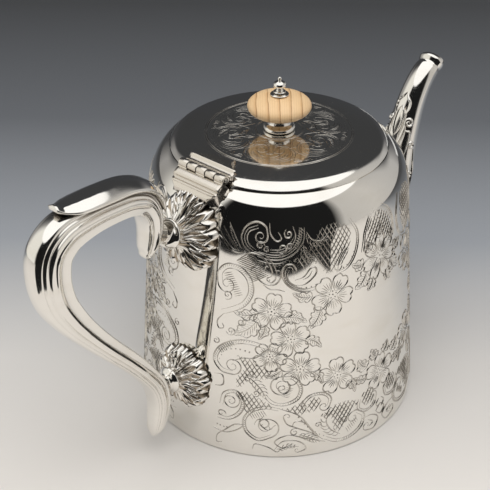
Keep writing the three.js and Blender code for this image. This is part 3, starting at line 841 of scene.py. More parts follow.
# ---------------------------------------------------------------- engraving
# Every motif is drawn flat in millimetres, as strokes and dots, and then laid on the wall or the lid.
class Drawing:
    def __init__(self, spacing=0.9):
        self.spacing = spacing
        self.strokes = []
        self.dots = []

    def line(self, points, width=0.42):
        self.strokes.append((resampled(points, self.spacing), width))

    def stroke(self, points, width=0.42):
        """A smooth line through the points."""
        self.line(curve_through(points, 6) if len(points) > 2 else points, width)

    def lines_beside(self, points, offsets, width):
        path = curve_through(points, 6)
        for offset in offsets:
            self.line(beside(path, offset), width)

    def dot(self, x, y, radius=0.42):
        self.dots.append((x, y, radius))

    def dot_row(self, points, count, start=0.5, end=0.34):
        path = resampled(curve_through(points, 6), 0.3)
        for i in range(count):
            x, y = path[i * (len(path) - 1) // (count - 1)]
            self.dot(x, y, start + (end - start) * i / (count - 1))

    def scroll(self, points, curl=None, band=0, width=0.45):
        """A smooth line that may end in a spiral (radius, turns, side); band sets a second line beside it."""
        spine = curve_through(points, 8)
        self.line(np.vstack([spine, spiral_from(spine, *curl)]) if curl else spine, width)
        if band:
            self.line(beside(spine, band), width * 0.75)
            self.shade(resampled(spine, 1.3), band)

    def shade(self, path, band):
        """Short slanting cuts between a scroll's two lines, longest in the middle of its run."""
        far = beside(path, band * 0.85)
        for k in range(2, len(path) - 3):
            reach = math.sin(math.pi * k / len(path))
            if reach > 0.45:
                self.line([path[k], path[k] + (far[k + 1] - path[k]) * reach], 0.2)

    def spiral(self, x, y, radius, turns, start=0, side=1, width=0.42):
        steps = int(turns * 22)
        a = math.radians(start) + side * np.linspace(0, 2 * math.pi * turns, steps)
        r = radius * (1 - np.linspace(0, 0.9, steps))
        self.line(np.column_stack([x + r * np.cos(a), y + r * np.sin(a)]), width)

    def flower(self, x, y, radius, turn, petals=5):
        """Notched petals with spread hatch lines, round a cluster of dots."""
        wide = 0.36 * radius * 5 / petals
        edge = [(0.2, 0.05), (0.42, 0.75), (0.72, 1.05), (0.95, 0.72), (0.97, 0.25)]
        outline = edge + [(0.9, 0), (0.98, -0.25)] + [(u, -v) for u, v in edge[-2::-1]]
        for k in range(petals):
            a = math.radians(turn) + 2 * math.pi * k / petals
            self.stroke([turned_point(x, y, a, radius * u, wide * v) for u, v in outline], 0.46)
            for v in (-0.72, -0.36, 0, 0.36, 0.72):
                ends = [(0.3, v * 0.4), (0.74 - abs(v) * 0.24, v)]
                self.line([turned_point(x, y, a, radius * u, wide * w) for u, w in ends], 0.26)
        self.dot(x, y, 0.5)
        for k in range(5):
            a = math.radians(turn + 36 + 72 * k)
            self.dot(x + 0.17 * radius * math.cos(a), y + 0.17 * radius * math.sin(a), 0.44)

    def leaf(self, x0, y0, x1, y1, width, teeth=4, bend=0.12):
        """A toothed leaf from its stalk to its tip, with a midrib and side veins."""
        length = math.hypot(x1 - x0, y1 - y0)
        a = math.atan2(y1 - y0, x1 - x0)

        def place(u, v):
            bow = bend * length * math.sin(math.pi * u)
            return turned_point(x0, y0, a, length * u, v * width / 2 + bow)

        for side in (1, -1):
            edge = [(0, 0)]
            for k in range(teeth):
                u = (k + 1) / (teeth + 0.4)
                reach = side * math.sin(math.pi * min(0.97, u * 0.86 + 0.12))
                edge += [(u - 0.45 / teeth, reach * 1.02), (u, reach * 0.95), (u + 0.02, reach * 0.7)]
            edge.append((1, 0))
            self.stroke([place(u, v) for u, v in edge])
            for k in range(teeth * 2):
                u = 0.12 + 0.72 * k / (teeth * 2)
                reach = math.sin(math.pi * min(0.95, u + 0.16)) * 0.62
                self.line([place(u, side * 0.1), place(u + 0.12, side * reach)], 0.24)
        self.stroke([place(u, 0) for u in (0, 0.3, 0.6, 0.92)], 0.36)

    def comb(self, start, end, direction, count, width=0.34):
        """Parallel lines that start evenly between two points."""
        for x, y in np.linspace(start, end, count):
            self.line([(x, y), (x + direction[0], y + direction[1])], width)

    def lattice(self, outline, pitch=1.9, width=0.36):
        """Crossed lines that stay inside an outline."""
        shape = curve_through(outline + outline[:1], 5)
        low, high = shape.min(axis=0), shape.max(axis=0)
        reach = float(np.linalg.norm(high - low)) / 2
        rows = int(reach / pitch)
        tilt = math.radians(58)
        for rise in (math.sin(tilt), -math.sin(tilt)):
            along = np.array([math.cos(tilt), rise])
            across = np.array([-rise, math.cos(tilt)])
            for k in range(-rows, rows + 1):
                start = (low + high) / 2 + across * k * pitch
                self.clipped_line([start + along * t for t in np.arange(-reach, reach, 0.7)], shape, width)

    def clipped_line(self, points, shape, width):
        run = []
        for point in points + [None]:
            if point is not None and inside(point, shape):
                run.append(point)
                continue
            if len(run) > 1:
                self.line(run[:: max(1, len(run) // 4)] + [run[-1]], width)
            run = []

    def feather(self, points, width, ribs, side=0):
        """A plume: a curved spine with bowed ribs that shorten towards its tip, on one side or on both."""
        spine = resampled(curve_through(points, 8), 0.4)
        self.line(spine, 0.4)
        ahead = headings(spine)
        left = turned_left(ahead)
        for k in range(ribs):
            i = int(len(spine) * (0.08 + 0.86 * k / ribs))
            reach = width * math.sin(math.pi * (0.25 + 0.7 * k / ribs))
            for hand in (side,) if side else (1, -1):
                middle = spine[i] + (left[i] * hand * 0.6 + ahead[i] * 0.25) * reach
                tip = spine[i] + (left[i] * hand * 0.8 + ahead[i]) * reach
                self.stroke([spine[i], middle, tip], 0.34)


def turned_point(x, y, angle, u, v):
    """(u, v) in a frame that stands at (x, y) and is turned by an angle."""
    cosine, sine = math.cos(angle), math.sin(angle)
    return (x + u * cosine - v * sine, y + u * sine + v * cosine)


def resampled(points, spacing):
    points = np.array(points, float)
    lengths = lengths_along(points)
    count = max(2, int(round(lengths[-1] / spacing)) + 1)
    at = np.linspace(0, lengths[-1], count)
    return np.column_stack([np.interp(at, lengths, points[:, i]) for i in (0, 1)])


def spiral_from(path, radius, turns, side):
    """A spiral that goes on from the end of a path, turning to the left (side 1) or right (-1)."""
    dx, dy = path[-1] - path[-2]
    steps = int(turns * 24)
    turn = 2 * math.pi * turns / steps
    points, place, heading = [], path[-1], math.atan2(dy, dx)
    for k in range(steps):
        heading += side * turn
        stride = radius * (1 - 0.88 * k / steps) * turn
        place = place + stride * np.array([math.cos(heading), math.sin(heading)])
        points.append(place)
    return np.array(points)


def beside(path, offset):
    """A path's parallel, offset to its left."""
    return path + turned_left(headings(path)) * offset


def inside(point, shape):
    """Whether a point is inside a closed outline, by counting the edges to its right."""
    x, y = point
    x0, y0, x1, y1 = shape[:-1, 0], shape[:-1, 1], shape[1:, 0], shape[1:, 1]
    crosses = (y0 > y) != (y1 > y)
    with np.errstate(divide="ignore", invalid="ignore"):
        hits = crosses & (x < x0 + (y - y0) * (x1 - x0) / (y1 - y0))
    return int(hits.sum()) % 2 == 1


LINE_STEEPNESS = 0.54
LINE_WIDTH = 1.5
SUNK = 0.02
RIDGE = ((1, 0), (0.6, 0.62), (0, 1), (-0.6, 0.62), (-1, 0))
DOT_SIDES = 7


def laid(drawing, surface, steepness=LINE_STEEPNESS, thickness=1):
    """Meshes for a drawing: each stroke a fine ridge that tapers at its ends, each dot a low boss."""
    vertices, faces = [], []
    across = len(RIDGE)
    for path, width in drawing.strokes:
        start, last = len(vertices), len(path) - 1
        for i, (point, left) in enumerate(zip(path, turned_left(headings(path)))):
            swell = min(1, 0.35 + 2.2 * min(i, last - i) / max(1, last))
            half = width * LINE_WIDTH * thickness / 2 * swell
            for share, rise in RIDGE:
                lift = 2 * half * steepness * rise - (SUNK if rise == 0 else 0)
                vertices.append(surface(*(point + left * half * share), lift))
        for i in range(last):
            for a in range(start + across * i, start + across * i + across - 1):
                faces.append((a, a + 1, a + across + 1, a + across))
    for x, y, radius in drawing.dots:
        start = len(vertices)
        for cosine, sine in circle_points(DOT_SIDES):
            vertices.append(surface(x + radius * cosine, y + radius * sine, -SUNK))
        vertices.append(surface(x, y, radius * steepness * 1.5))
        top = start + DOT_SIDES
        faces += [(start + k, start + (k + 1) % DOT_SIDES, top) for k in range(DOT_SIDES)]
    return vertices, faces


PANEL_CENTRE = -3
FAR_PANEL_CENTRE = -14
WRAP_RADIUS = 66
WIDEST = BASE_RADIUS - 0.02


def draw_blooms(d):
    """The flowers and the toothed leaves round them."""
    for x, z, radius, turn in (
        (-57, 81, 9.6, 8), (-48, 66.5, 9.4, 30), (-57.5, 57, 8, 62), (-43.5, 50, 9.6, 12),
        (-28, 87, 10.6, -14), (-25.5, 43, 9.8, 22),
    ):
        d.flower(x, z, radius, turn)
    for x0, z0, x1, z1, width, teeth in (
        (-63, 77, -76, 67, 9, 4), (-63, 80, -75, 79, 6, 3), (-52, 78, -40.5, 75, 7, 4),
        (-38, 88, -47.5, 90.5, 5.5, 3), (-34, 82, -40, 71, 8, 4), (-41, 66, -33.5, 60.5, 5.5, 3),
        (-60, 74, -63, 66, 5, 3), (-38, 48, -33, 40, 5, 3), (-52, 50, -60, 46, 5, 3),
        (-11, 98, -18, 99.5, 6, 3), (-9, 93, -16, 86, 8, 3), (-5, 88, -8.5, 82.5, 6, 3),
        (-6, 103, -10, 109, 5, 3), (-9, 41, -14, 47, 7, 3), (-9, 35, -17, 38, 5, 3),
        (-20, 38, -16, 30, 5, 3), (-2.5, 44, -6, 49.5, 6, 3),
    ):
        d.leaf(x0, z0, x1, z1, width, teeth)


def draw_top_corner(d):
    """The shell and the ringed scroll under the shoulder, at the panel's end."""
    d.scroll([(-84.5, 116.5), (-81.5, 115.2), (-78.2, 111.8), (-75.6, 109.6), (-72, 109.2),
              (-70.8, 110.2)], width=0.6)
    d.scroll([(-84, 124), (-83, 119), (-79, 113.5), (-75.5, 110.6), (-72.5, 110.4)])
    d.scroll([(-78, 122.5), (-75, 117.5), (-71.6, 111.4)])
    d.dot_row([(-77.4, 120.5), (-76.4, 117.6), (-75.2, 115.2), (-73.6, 113)], 8, 0.5, 0.36)
    for k in range(8):
        low, middle = (-80.6 + 0.9 * k, 120.5 - 1.15 * k), (-79.4 + 0.9 * k, 117.6 - 1.1 * k)
        d.stroke([low, middle, (-77.8 + 0.8 * k, 115.6 - k)], 0.34)
    outer = [(-42, 122), (-42.6, 116), (-46.4, 110.6), (-52, 107.6), (-58, 107.3), (-64, 108.6)]
    d.stroke(outer, 0.55)
    d.lines_beside(outer, (-1.3, -2.4), 0.4)
    ring = [(-66.2, 109.6), (-70.2, 112.8), (-71.6, 117.5), (-69.6, 122), (-64.5, 124.2), (-60, 122.2),
            (-59.2, 118.5)]
    d.scroll(ring, curl=(3.3, 1.5, -1), width=0.6)
    d.lines_beside(ring[:5], (-1.4, -2.6), 0.42)
    d.scroll([(-58.5, 124), (-58, 119.5), (-54.6, 116.2), (-52.8, 117.6), (-54.4, 120.4)], width=0.5)
    for x, z, radius, start in (
        (-62.6, 114, 2.1, 0), (-59.6, 112.2, 1.5, 60), (-52.4, 112.8, 2.7, 190), (-48.9, 113.7, 1.7, 20),
        (-49.5, 119.5, 2.2, 120),
    ):
        d.spiral(x, z, radius, 1.5, start, 1, 0.55)
    d.lines_beside(outer[1:5], (-3.6, -4.8), 0.34)
    d.scroll([(-47.4, 122.6), (-46.2, 118.4), (-47.4, 115.2), (-50.4, 113.4)], width=0.42)
    d.comb((-45.2, 112.2), (-42.2, 120.5), (-1.9, 1.5), 9, 0.3)
    d.feather([(-64, 106.8), (-58.6, 105.6), (-53.4, 105.6), (-49.4, 107.4)], 1.7, 9, side=-1)
    d.dot_row([(-53.5, 109.2), (-49.5, 110.2), (-46, 113.4), (-44.4, 117)], 9)


def draw_top_middle(d):
    """Scrolls, lattice and plumes between the shoulder and the upper flowers."""
    d.comb((-73.8, 104.9), (-66.4, 95.4), (8.2, 4.5), 15, 0.4)
    d.scroll([(-73.4, 105.6), (-66.4, 110), (-61.4, 108.2), (-57.6, 103.6), (-57, 99.6),
              (-59, 98)], width=0.6)
    d.scroll([(-65.4, 110.8), (-60.6, 109.4), (-56.2, 104.6), (-54.6, 100)], width=0.5)
    d.scroll([(-60.4, 101.8), (-59.8, 104), (-57.9, 103.2)], width=0.5)
    d.scroll([(-67, 100.4), (-66.2, 103), (-63, 103.4), (-62, 101), (-63.4, 99.6)], width=0.55)
    d.scroll([(-65, 102), (-63.4, 97.4), (-59.6, 95), (-55.2, 95.2), (-53, 98.4), (-53.2, 101.6),
              (-55.2, 102)], width=0.6)
    d.scroll([(-59.6, 97.4), (-57.4, 96), (-55.4, 97.6), (-55.2, 99.6)], width=0.5)
    d.spiral(-58.4, 97.4, 1.3, 1.1, 90, 1, 0.45)
    d.scroll([(-61, 94.6), (-58, 92.6), (-54, 92.4), (-51, 91.4)], width=0.4)
    d.scroll([(-36.8, 91.4), (-42.2, 91), (-47.6, 93), (-51.2, 96.8), (-52.3, 101.4), (-50.4, 104.6),
              (-47.4, 104.7), (-45.9, 102.5)], curl=(1.3, 0.8, -1), band=-1.3, width=0.85)
    d.scroll([(-45.4, 94), (-48.8, 96.2), (-50, 99.6), (-49, 102.4)], width=0.45)
    d.scroll([(-46.4, 97), (-42, 98.6), (-39, 102.4), (-36.8, 102.6), (-36.2, 100), (-38.6, 96.8),
              (-42.4, 94.4), (-46.6, 94.6)], width=0.6)
    d.scroll([(-42.6, 97), (-39.8, 98.4), (-38.2, 101)], width=0.35)
    d.dot_row([(-43.4, 92.7), (-38, 93), (-34, 95)], 5)
    d.lattice([(-57, 106), (-52, 106.3), (-46, 108), (-42, 111), (-38, 116), (-34, 121), (-25, 122),
               (-19, 118), (-19, 110), (-24, 103), (-28, 98.5), (-32, 98.5), (-34.6, 103), (-38, 104.2),
               (-42, 101.5), (-44, 104), (-47, 106), (-52, 105.4)])
    d.feather([(-42.4, 114), (-42, 110.4), (-38.8, 107), (-35.4, 108.4)], 2.4, 7)
    d.feather([(-41, 120), (-38.4, 116.4), (-34, 115.4), (-30.6, 118)], 3, 8, side=-1)
    d.feather([(-25.5, 98), (-25, 103), (-22, 108), (-19.5, 110)], 3.4, 6)
    d.scroll([(-26, 97), (-20.5, 98.5), (-16.5, 103), (-14.4, 109), (-14.6, 116), (-18, 122)], band=1.1)
    d.dot_row([(-24.5, 98.7), (-19.5, 101), (-17, 106)], 6)
    d.scroll([(-12.4, 104), (-11.4, 109), (-10.5, 114), (-7, 120), (-3, 122.5)], band=-1.1)
    d.lattice([(-10, 104), (-9.6, 111), (-6, 118), (0, 121), (0, 112), (-1.5, 108), (-4, 105.5)])


def draw_side(d):
    """The big scrolls that curl outwards beside the flowers, and the lattice below them."""
    d.scroll([(-80, 76.5), (-75, 79), (-69, 83), (-65.5, 90), (-67, 98), (-73, 103), (-79, 102.5),
              (-83, 98), (-83, 92)], curl=(4.6, 1.5, 1), band=2.4)
    d.scroll([(-80, 76.5), (-83, 72), (-82, 68.5), (-79.5, 69.5), (-80.5, 71.5)])
    d.comb((-76, 99), (-70.5, 88.5), (-4, -1.6), 12, 0.26)
    d.scroll([(-54, 61.5), (-60, 63.5), (-69, 65), (-77, 62.5), (-83, 57), (-84.5, 50.5), (-80.5, 45.6),
              (-75, 45)], curl=(4.6, 1.7, 1), band=2)
    d.scroll([(-53, 59), (-59, 60.5), (-64, 56), (-70, 55), (-75, 52.5)])
    d.dot_row([(-67, 58.6), (-73, 59.4), (-79, 57), (-81.5, 52)], 9, 0.5, 0.3)
    d.scroll([(-84, 43), (-80, 43.5), (-79.5, 38), (-83.5, 36.5)])
    d.scroll([(-81, 27), (-79, 34), (-73, 36.5), (-69, 31), (-70.5, 24), (-76, 19), (-82, 18.5)], band=-1.6)
    d.spiral(-75.5, 30, 4.6, 1.9, 60, -1)
    d.spiral(-80, 21.5, 2.4, 1.1, 0)
    d.lattice([(-74.5, 56.5), (-66.8, 55), (-60, 51.4), (-54.5, 45.4), (-60, 44.4), (-66, 43.4),
               (-72, 38), (-73.6, 43), (-69.5, 50)])
    d.lattice([(-74, 36), (-66.8, 36.6), (-61.6, 33.8), (-55, 28.6), (-62, 26.6), (-68, 24.6), (-70.4, 31)])
    d.feather([(-70, 45.5), (-66, 44), (-61.5, 39), (-58.5, 33)], 3.2, 7)
    d.dot_row([(-64, 42), (-61, 38), (-59.5, 34)], 5)


def draw_low_corner(d):
    """Scrolls, lattice and plumes under the flowers, towards the panel's end."""
    d.scroll([(-59.5, 34), (-56, 30.8), (-50, 30.2), (-44, 33.5), (-42.5, 40), (-46.5, 46),
              (-52, 46.5)], curl=(5.6, 2, 1), band=1.5)
    d.lattice([(-54, 29.4), (-48, 29), (-41.5, 33), (-40, 28), (-43, 23.5), (-49, 26.5)])
    d.scroll([(-53, 28.5), (-59, 29.5), (-65.5, 27), (-69.5, 21), (-68.5, 14), (-62.5, 9.5),
              (-56, 12)], curl=(6.2, 1.35, 1), band=1.4)
    d.spiral(-60, 19, 4.2, 1.1, 190, -1)
    d.scroll([(-60, 24), (-62, 20), (-58, 16), (-54.5, 19)])
    d.scroll([(-34, 9.5), (-38.5, 16), (-44, 24), (-53, 28.5)])
    d.scroll([(-32.5, 8), (-38, 13), (-45, 17), (-49.5, 19.5), (-51, 23)], curl=(1.9, 1, -1))
    d.scroll([(-31.5, 6.5), (-40, 10), (-49, 13), (-55, 9), (-51, 5.5), (-47, 8)])
    d.scroll([(-36, 11), (-42, 20), (-46, 20.5), (-47, 17.5)])
    d.dot_row([(-44, 23), (-40, 17), (-35, 12), (-30, 8.5)], 9, 0.55, 0.3)
    d.feather([(-44, 13), (-39, 10.5), (-34, 7)], 2.6, 6)


def draw_foot(d):
    """Scrolls and lattice near the foot, then the small spirals and combs that fill gaps."""
    d.scroll([(-42, 25), (-42.5, 31), (-38, 35.5), (-32, 35), (-28.5, 31),
              (-29.5, 26.5)], curl=(2.8, 1.3, -1), band=-1.4)
    d.lattice([(-40.5, 27), (-39.5, 32), (-35, 33.5), (-33.5, 30), (-36, 26), (-38.5, 24.5)])
    d.scroll([(-32, 8), (-26, 4.6), (-17.5, 5), (-11.5, 9), (-10.4, 14.5),
              (-14, 18.5)], curl=(3.9, 1.2, 1), band=1.6)
    d.feather([(-24, 8.5), (-29, 13), (-31, 19), (-28, 24)], 3.6, 8, side=1)
    d.lattice([(-35, 21), (-29, 26), (-20, 27), (-13.5, 23), (-19, 19.5), (-22, 12.5), (-25, 10),
               (-28, 14), (-29, 20)])
    d.scroll([(-14, 24.5), (-14.5, 19), (-9.5, 15.6), (-4, 17.5), (-2.5, 22)], curl=(2.6, 1.1, 1), band=1.3)
    d.lattice([(-12.5, 26), (-11.5, 20), (-6.5, 19), (-4, 24), (-7.5, 29)])
    d.scroll([(-84, 12), (-78, 11), (-71, 15), (-69.5, 17.4), (-73, 17), (-78, 12.5), (-82, 8), (-82, 4),
              (-79.5, 4.6)])
    d.dot_row([(-82, 14.5), (-78, 14), (-74, 16)], 6)
    d.scroll([(-65, 4), (-64, 7.2), (-58, 6), (-54.5, 3.4)], curl=(1.4, 0.9, 1))
    d.scroll([(-55, 4.5), (-51, 9.6), (-44, 9), (-40.5, 4.5), (-44, 2.6)], curl=(1.5, 0.9, -1))
    d.feather([(-53, 4), (-49, 6.5), (-44, 6)], 1.8, 5)
    for x, z, radius, start, side in (
        (-51.5, 39.8, 3.2, 40, -1), (-76, 68.5, 2.6, 200, 1), (-71, 74, 2.2, 20, -1),
        (-66.5, 47.5, 2.4, 130, 1), (-46, 14.6, 2.2, 60, 1), (-22, 16, 2.4, 200, -1),
        (-78, 87, 2.6, 250, 1), (-83.4, 61.5, 1.9, 90, -1), (-35, 17.2, 1.8, 320, 1),
        (-63.6, 36.4, 2, 220, 1),
    ):
        d.spiral(x, z, radius, 1.5, start, side, 0.4)
    d.comb((-66.6, 24.6), (-60.5, 27.2), (1.8, -3.2), 7, 0.24)
    d.comb((-46.6, 39.4), (-48.6, 34.6), (-3.4, 0.9), 7, 0.24)
    d.comb((-14.4, 12.4), (-19.6, 8), (-1.6, 3.2), 7, 0.24)
    d.comb((-76.4, 63.6), (-82.4, 58), (2.2, -2.6), 8, 0.24)
    d.scroll([(-12, 12), (-6, 11.6), (-1.5, 7.6), (-4.5, 3), (-9.5, 4)], curl=(2.6, 1, -1))
    d.scroll([(-8, 9.5), (-5, 7), (-7.5, 5.4)])
    d.scroll([(-0.8, 13), (-2.8, 16), (-0.8, 18.5)])


PANEL_PARTS = (
    draw_blooms, draw_top_corner, draw_top_middle,
    draw_side, draw_low_corner, draw_foot,
)


def half_panel():
    """The left half of a side panel: x runs along the wall in mm from the panel's middle, z is the height."""
    d = Drawing()
    for draw in PANEL_PARTS:
        draw(d)
    return d


def mirrored(drawing):
    twin = Drawing()
    twin.strokes = [(np.column_stack([-path[:, 0], path[:, 1]]), width) for path, width in drawing.strokes]
    twin.dots = [(-x, y, radius) for x, y, radius in drawing.dots]
    return twin


def panel_surface(hand):
    """Places panel points on the wall; hand is 1 for the side at -Y and -1 for the side at +Y."""
    centre = PANEL_CENTRE if hand > 0 else FAR_PANEL_CENTRE

    def surface(u, z, lift):
        angle = (u + centre) / WRAP_RADIUS - math.pi / 2
        r = min(outside_radius(z) + lift, WIDEST)
        rise = lift * 0.5 if z > SHOULDER_Z + 6 else 0
        return (r * math.cos(angle), hand * r * math.sin(angle), z + rise)

    return surface


def middle_motifs():
    """The flowers between a panel's two halves."""
    d = Drawing()
    d.flower(0, 97.8, 11.6, 90, petals=7)
    d.flower(0, 34.5, 9.8, 90)
    d.leaf(0, 107, 0, 116, 6, 4, bend=0)
    d.scroll([(-3, 12), (0, 9), (3, 12), (0, 15), (-3, 12)])
    return d


def engrave_body():
    left = half_panel()
    parts = []
    for hand in (1, -1):
        for drawing in (left, mirrored(left), middle_motifs()):
            parts.append(facing(laid(drawing, panel_surface(hand)), lambda middle: middle * (1, 1, 0)))
    piece("body_engraving", parts, ENGRAVED, "pot", sharp=60, solid=False)


engrave_body()

# ---------------------------------------------------------------- hinge
KNUCKLE_PITCH = 5.4
KNUCKLE_LENGTH = 5.1
BARREL_RADIUS = 2.1


def knuckle_place(index):
    """Where the middle of a knuckle is along Y: 0 to 4, with the middle one on the pot's middle plane."""
    return (index - 2) * KNUCKLE_PITCH


def knuckle(index):
    half = KNUCKLE_LENGTH / 2
    outline = [(1, -half), (1.9, -half), (2.05, -half + 0.07), (BARREL_RADIUS, -half + 0.22)]
    outline += [(r, -y) for r, y in outline[::-1]]
    vertices, faces = lathe(outline, 40)
    return [(HINGE.x + x, knuckle_place(index) + z, HINGE.z - y) for x, y, z in vertices], faces


def block_along_y(outline, y0, y1):
    """A prism along Y with slightly eased ends; its outline is closed, in x and z."""
    points = np.array(outline, float)
    middle = points.mean(axis=0)
    rings = []
    for y, shrink in ((y0, 0.94), (y0 + 0.15, 1), (y1 - 0.15, 1), (y1, 0.94)):
        rings.append([(x, y, z) for x, z in middle + (points - middle) * shrink])
    return grid(rings)


def moulded_plate(face, back, half_width):
    """A cast plate: its moulded face and its back are rows of (x, z), its width follows half_width(x).
    The back keeps to the round surface that it sits on."""
    stations = np.concatenate([[-1], np.linspace(-0.985, 0.985, 25), [1]])
    rings = []
    for s in stations:
        ease = 0.25 if abs(s) == 1 else 0
        ring = [(x, s * half_width(x), z - ease) for x, z in face]
        ring += [(round_x(x, s * half_width(x)), s * half_width(x), z) for x, z in back]
        rings.append(ring)
    return grid(rings)


def hinge_web(index, outline):
    """The web that carries a knuckle: its outline is (x, z) from the hinge's axis."""
    y0 = knuckle_place(index) - KNUCKLE_LENGTH / 2
    return block_along_y([(HINGE.x + dx, HINGE.z + dz) for dx, dz in outline], y0, y0 + KNUCKLE_LENGTH)


def hinge_leaf(name, plate, knuckles, web, body, node):
    parts = [plate]
    for index in knuckles:
        parts += [knuckle(index), hinge_web(index, web)]
    piece(name, parts, HINGE_SILVER, body, node, sharp=50)


def make_hinge_bracket():
    """The pot's leaf: a moulded bracket on the shoulder, with three knuckles."""

    def half_width(x):
        return float(np.interp(x, [-60, -59.2, -58.2, -57.2, -56.5], [8.6, 10.3, 12.2, 13.1, 13.3]))

    face = [
        (-51.9, 136.2), (-52.6, 136.9), (-53.3, 137.1), (-54.6, 136.5), (-55.6, 135.9), (-56.1, 135.5),
        (-56.3, 135.1), (-56.1, 134.6), (-56.2, 134), (-56.6, 133.55), (-57.2, 133.35), (-57.6, 133.55),
        (-58, 133.45), (-58.25, 133), (-58.1, 132.5), (-58.4, 132.1), (-59, 131.4), (-59.4, 130.6),
        (-59.35, 129.7), (-59, 128.7), (-58.4, 127.9),
    ]
    back = [(0.5 - outside_radius(z), z) for z in (127.6, 129, 130.4, 131.6, 132.6, 133.3)] + [(-51.4, 134.6)]
    web = [(-0.6, -1.7), (-1.4, -2.6), (-3, -2.4), (-2.4, -1.2), (-1.9, -0.6)]
    plate = moulded_plate(face, back, half_width)
    hinge_leaf("hinge_bracket", plate, (0, 2, 4), web, "pot", "hinge_body_leaf")


def make_hinge_strap():
    """The lid's leaf: a moulded strap that narrows towards the knob, with two knuckles."""

    def half_width(x):
        return float(np.interp(x, [-44.6, -43.6, -42.6, -41.4, -38, -35], [13.3, 11.6, 9, 7, 6.2, 5]))

    face = [
        (-36, 138.6), (-36.1, 139.3), (-36.8, 139.7), (-40, 140), (-43, 140.05), (-43.9, 139.95),
        (-44.25, 140.35), (-44.65, 140.55), (-45.05, 140.35), (-45.35, 139.8), (-46, 139.2),
        (-46.8, 138.85), (-47.5, 138.9), (-47.95, 139.05), (-48.3, 138.7), (-48.45, 137.6),
    ]
    back = [(-r, lid_top_z(r) - 0.4) for r in (47.8, 46.5, 44, 41, 38.5, 36.2)]
    web = [(0.2, -1.7), (4.2, -1.6), (4.2, 0.6), (2.2, 0.9), (0.2, 1.9)]
    plate = moulded_plate(face, back, half_width)
    hinge_leaf("hinge_strap", plate, (1, 3), web, "lid", "hinge_lid_leaf")


make_hinge_bracket()
make_hinge_strap()


# ---------------------------------------------------------------- knob fittings
def turned_fitting(name, node, outline, segments):
    """A turned fitting with the bolt's hole down its middle; its outline is (radius, height above foot)."""
    low, high = box_mm(node)
    rows = [(r, low.z + z) for r, z in curve_through(outline, 4)]
    rows = [(BOLT_HOLE_RADIUS, low.z)] + rows + [(BOLT_HOLE_RADIUS, high.z)]
    piece(name, [lathe(rows, segments)], SILVER, "lid", node)


def make_knob_fittings():
    collar = [
        (6.6, 0), (7.15, 0.25), (7.4, 0.85), (7.25, 1.5), (6.6, 2.15), (5.75, 2.6), (5.15, 3.1),
        (4.85, 3.9), (4.8, 4.7), (4.95, 5.4), (5.25, 6.1),
    ]
    turned_fitting("knob_pedestal", "knob_collar", collar, 72)
    dish = [(4.1, 0), (4.3, 0.18), (4.25, 0.42), (3.9, 0.62), (3.3, 0.82), (2.6, 0.9)]
    turned_fitting("finial_dish", "knob_top_washer", dish, 64)


def make_finial():
    """The bolt's head: a foot, a neck, a ball and a small tip, as (radius, drop below the tip)."""
    low, high = box_mm("finial_bolt")
    head = [
        (2.75, 7.5), (2.9, 7.3), (2.85, 7.05), (2.4, 6.75), (1.8, 6.5), (1.5, 6.1), (1.5, 5.75), (1.9, 5.35),
        (2.5, 4.9), (3, 4.3), (3.05, 3.7), (2.7, 3), (1.9, 2.35), (1.1, 2.05), (0.7, 1.85), (0.65, 1.6),
        (0.9, 1.2), (0.92, 0.85), (0.65, 0.35), (0.3, 0.06),
    ]
    shank = [(0, low.z), (BOLT_RADIUS, low.z), (BOLT_RADIUS, high.z - head[0][1])]
    rows = shank + [(r, high.z - drop) for r, drop in curve_through(head, 4)] + [(0, high.z)]
    piece("finial", [lathe(rows, 56, closed=False)], SILVER, "lid", "finial_bolt")


make_knob_fittings()
make_finial()


# ---------------------------------------------------------------- leaf sockets and necks
# Each leaf: direction from straight up and half angle in degrees, reach in mm, fingers, sideways sweep.
def both_sides(top, side):
    """A ring of leaves: the ones on top, those of one side, and that side's mirror image."""
    return top + side + [(360 - turn, *sizes, -sweep) for turn, *sizes, sweep in side[::-1]]


UPPER_LEAVES = both_sides(
    [(-2, 38, 18, 6, 6)], [(58, 23, 16, 2, -10), (97, 24, 16.8, 2, 14), (148, 33, 20.5, 4, 12)]
)
LOWER_LEAVES = both_sides(
    [(0, 42, 13, 6, 8)], [(62, 26, 14, 2, -10), (102, 24, 15.6, 2, 14), (150, 31, 18.8, 4, 12)]
)
BUDS = both_sides([], [(24, 27, 9.4, 2, 14), (80, 26, 10, 1, -16), (140, 27, 10.4, 2, 16)])
ROOT_RADIUS = 3.6
LEAF_RISE = curve_through(
    [
        (0, 1), (0.08, 0.95), (0.18, 0.76), (0.34, 0.6), (0.55, 0.54), (0.75, 0.5), (0.9, 0.4),
        (0.98, 0.22), (1, 0.08),
    ],
    6,
)


def turn_from(direction, angle):
    return (angle - direction + 180) % 360 - 180


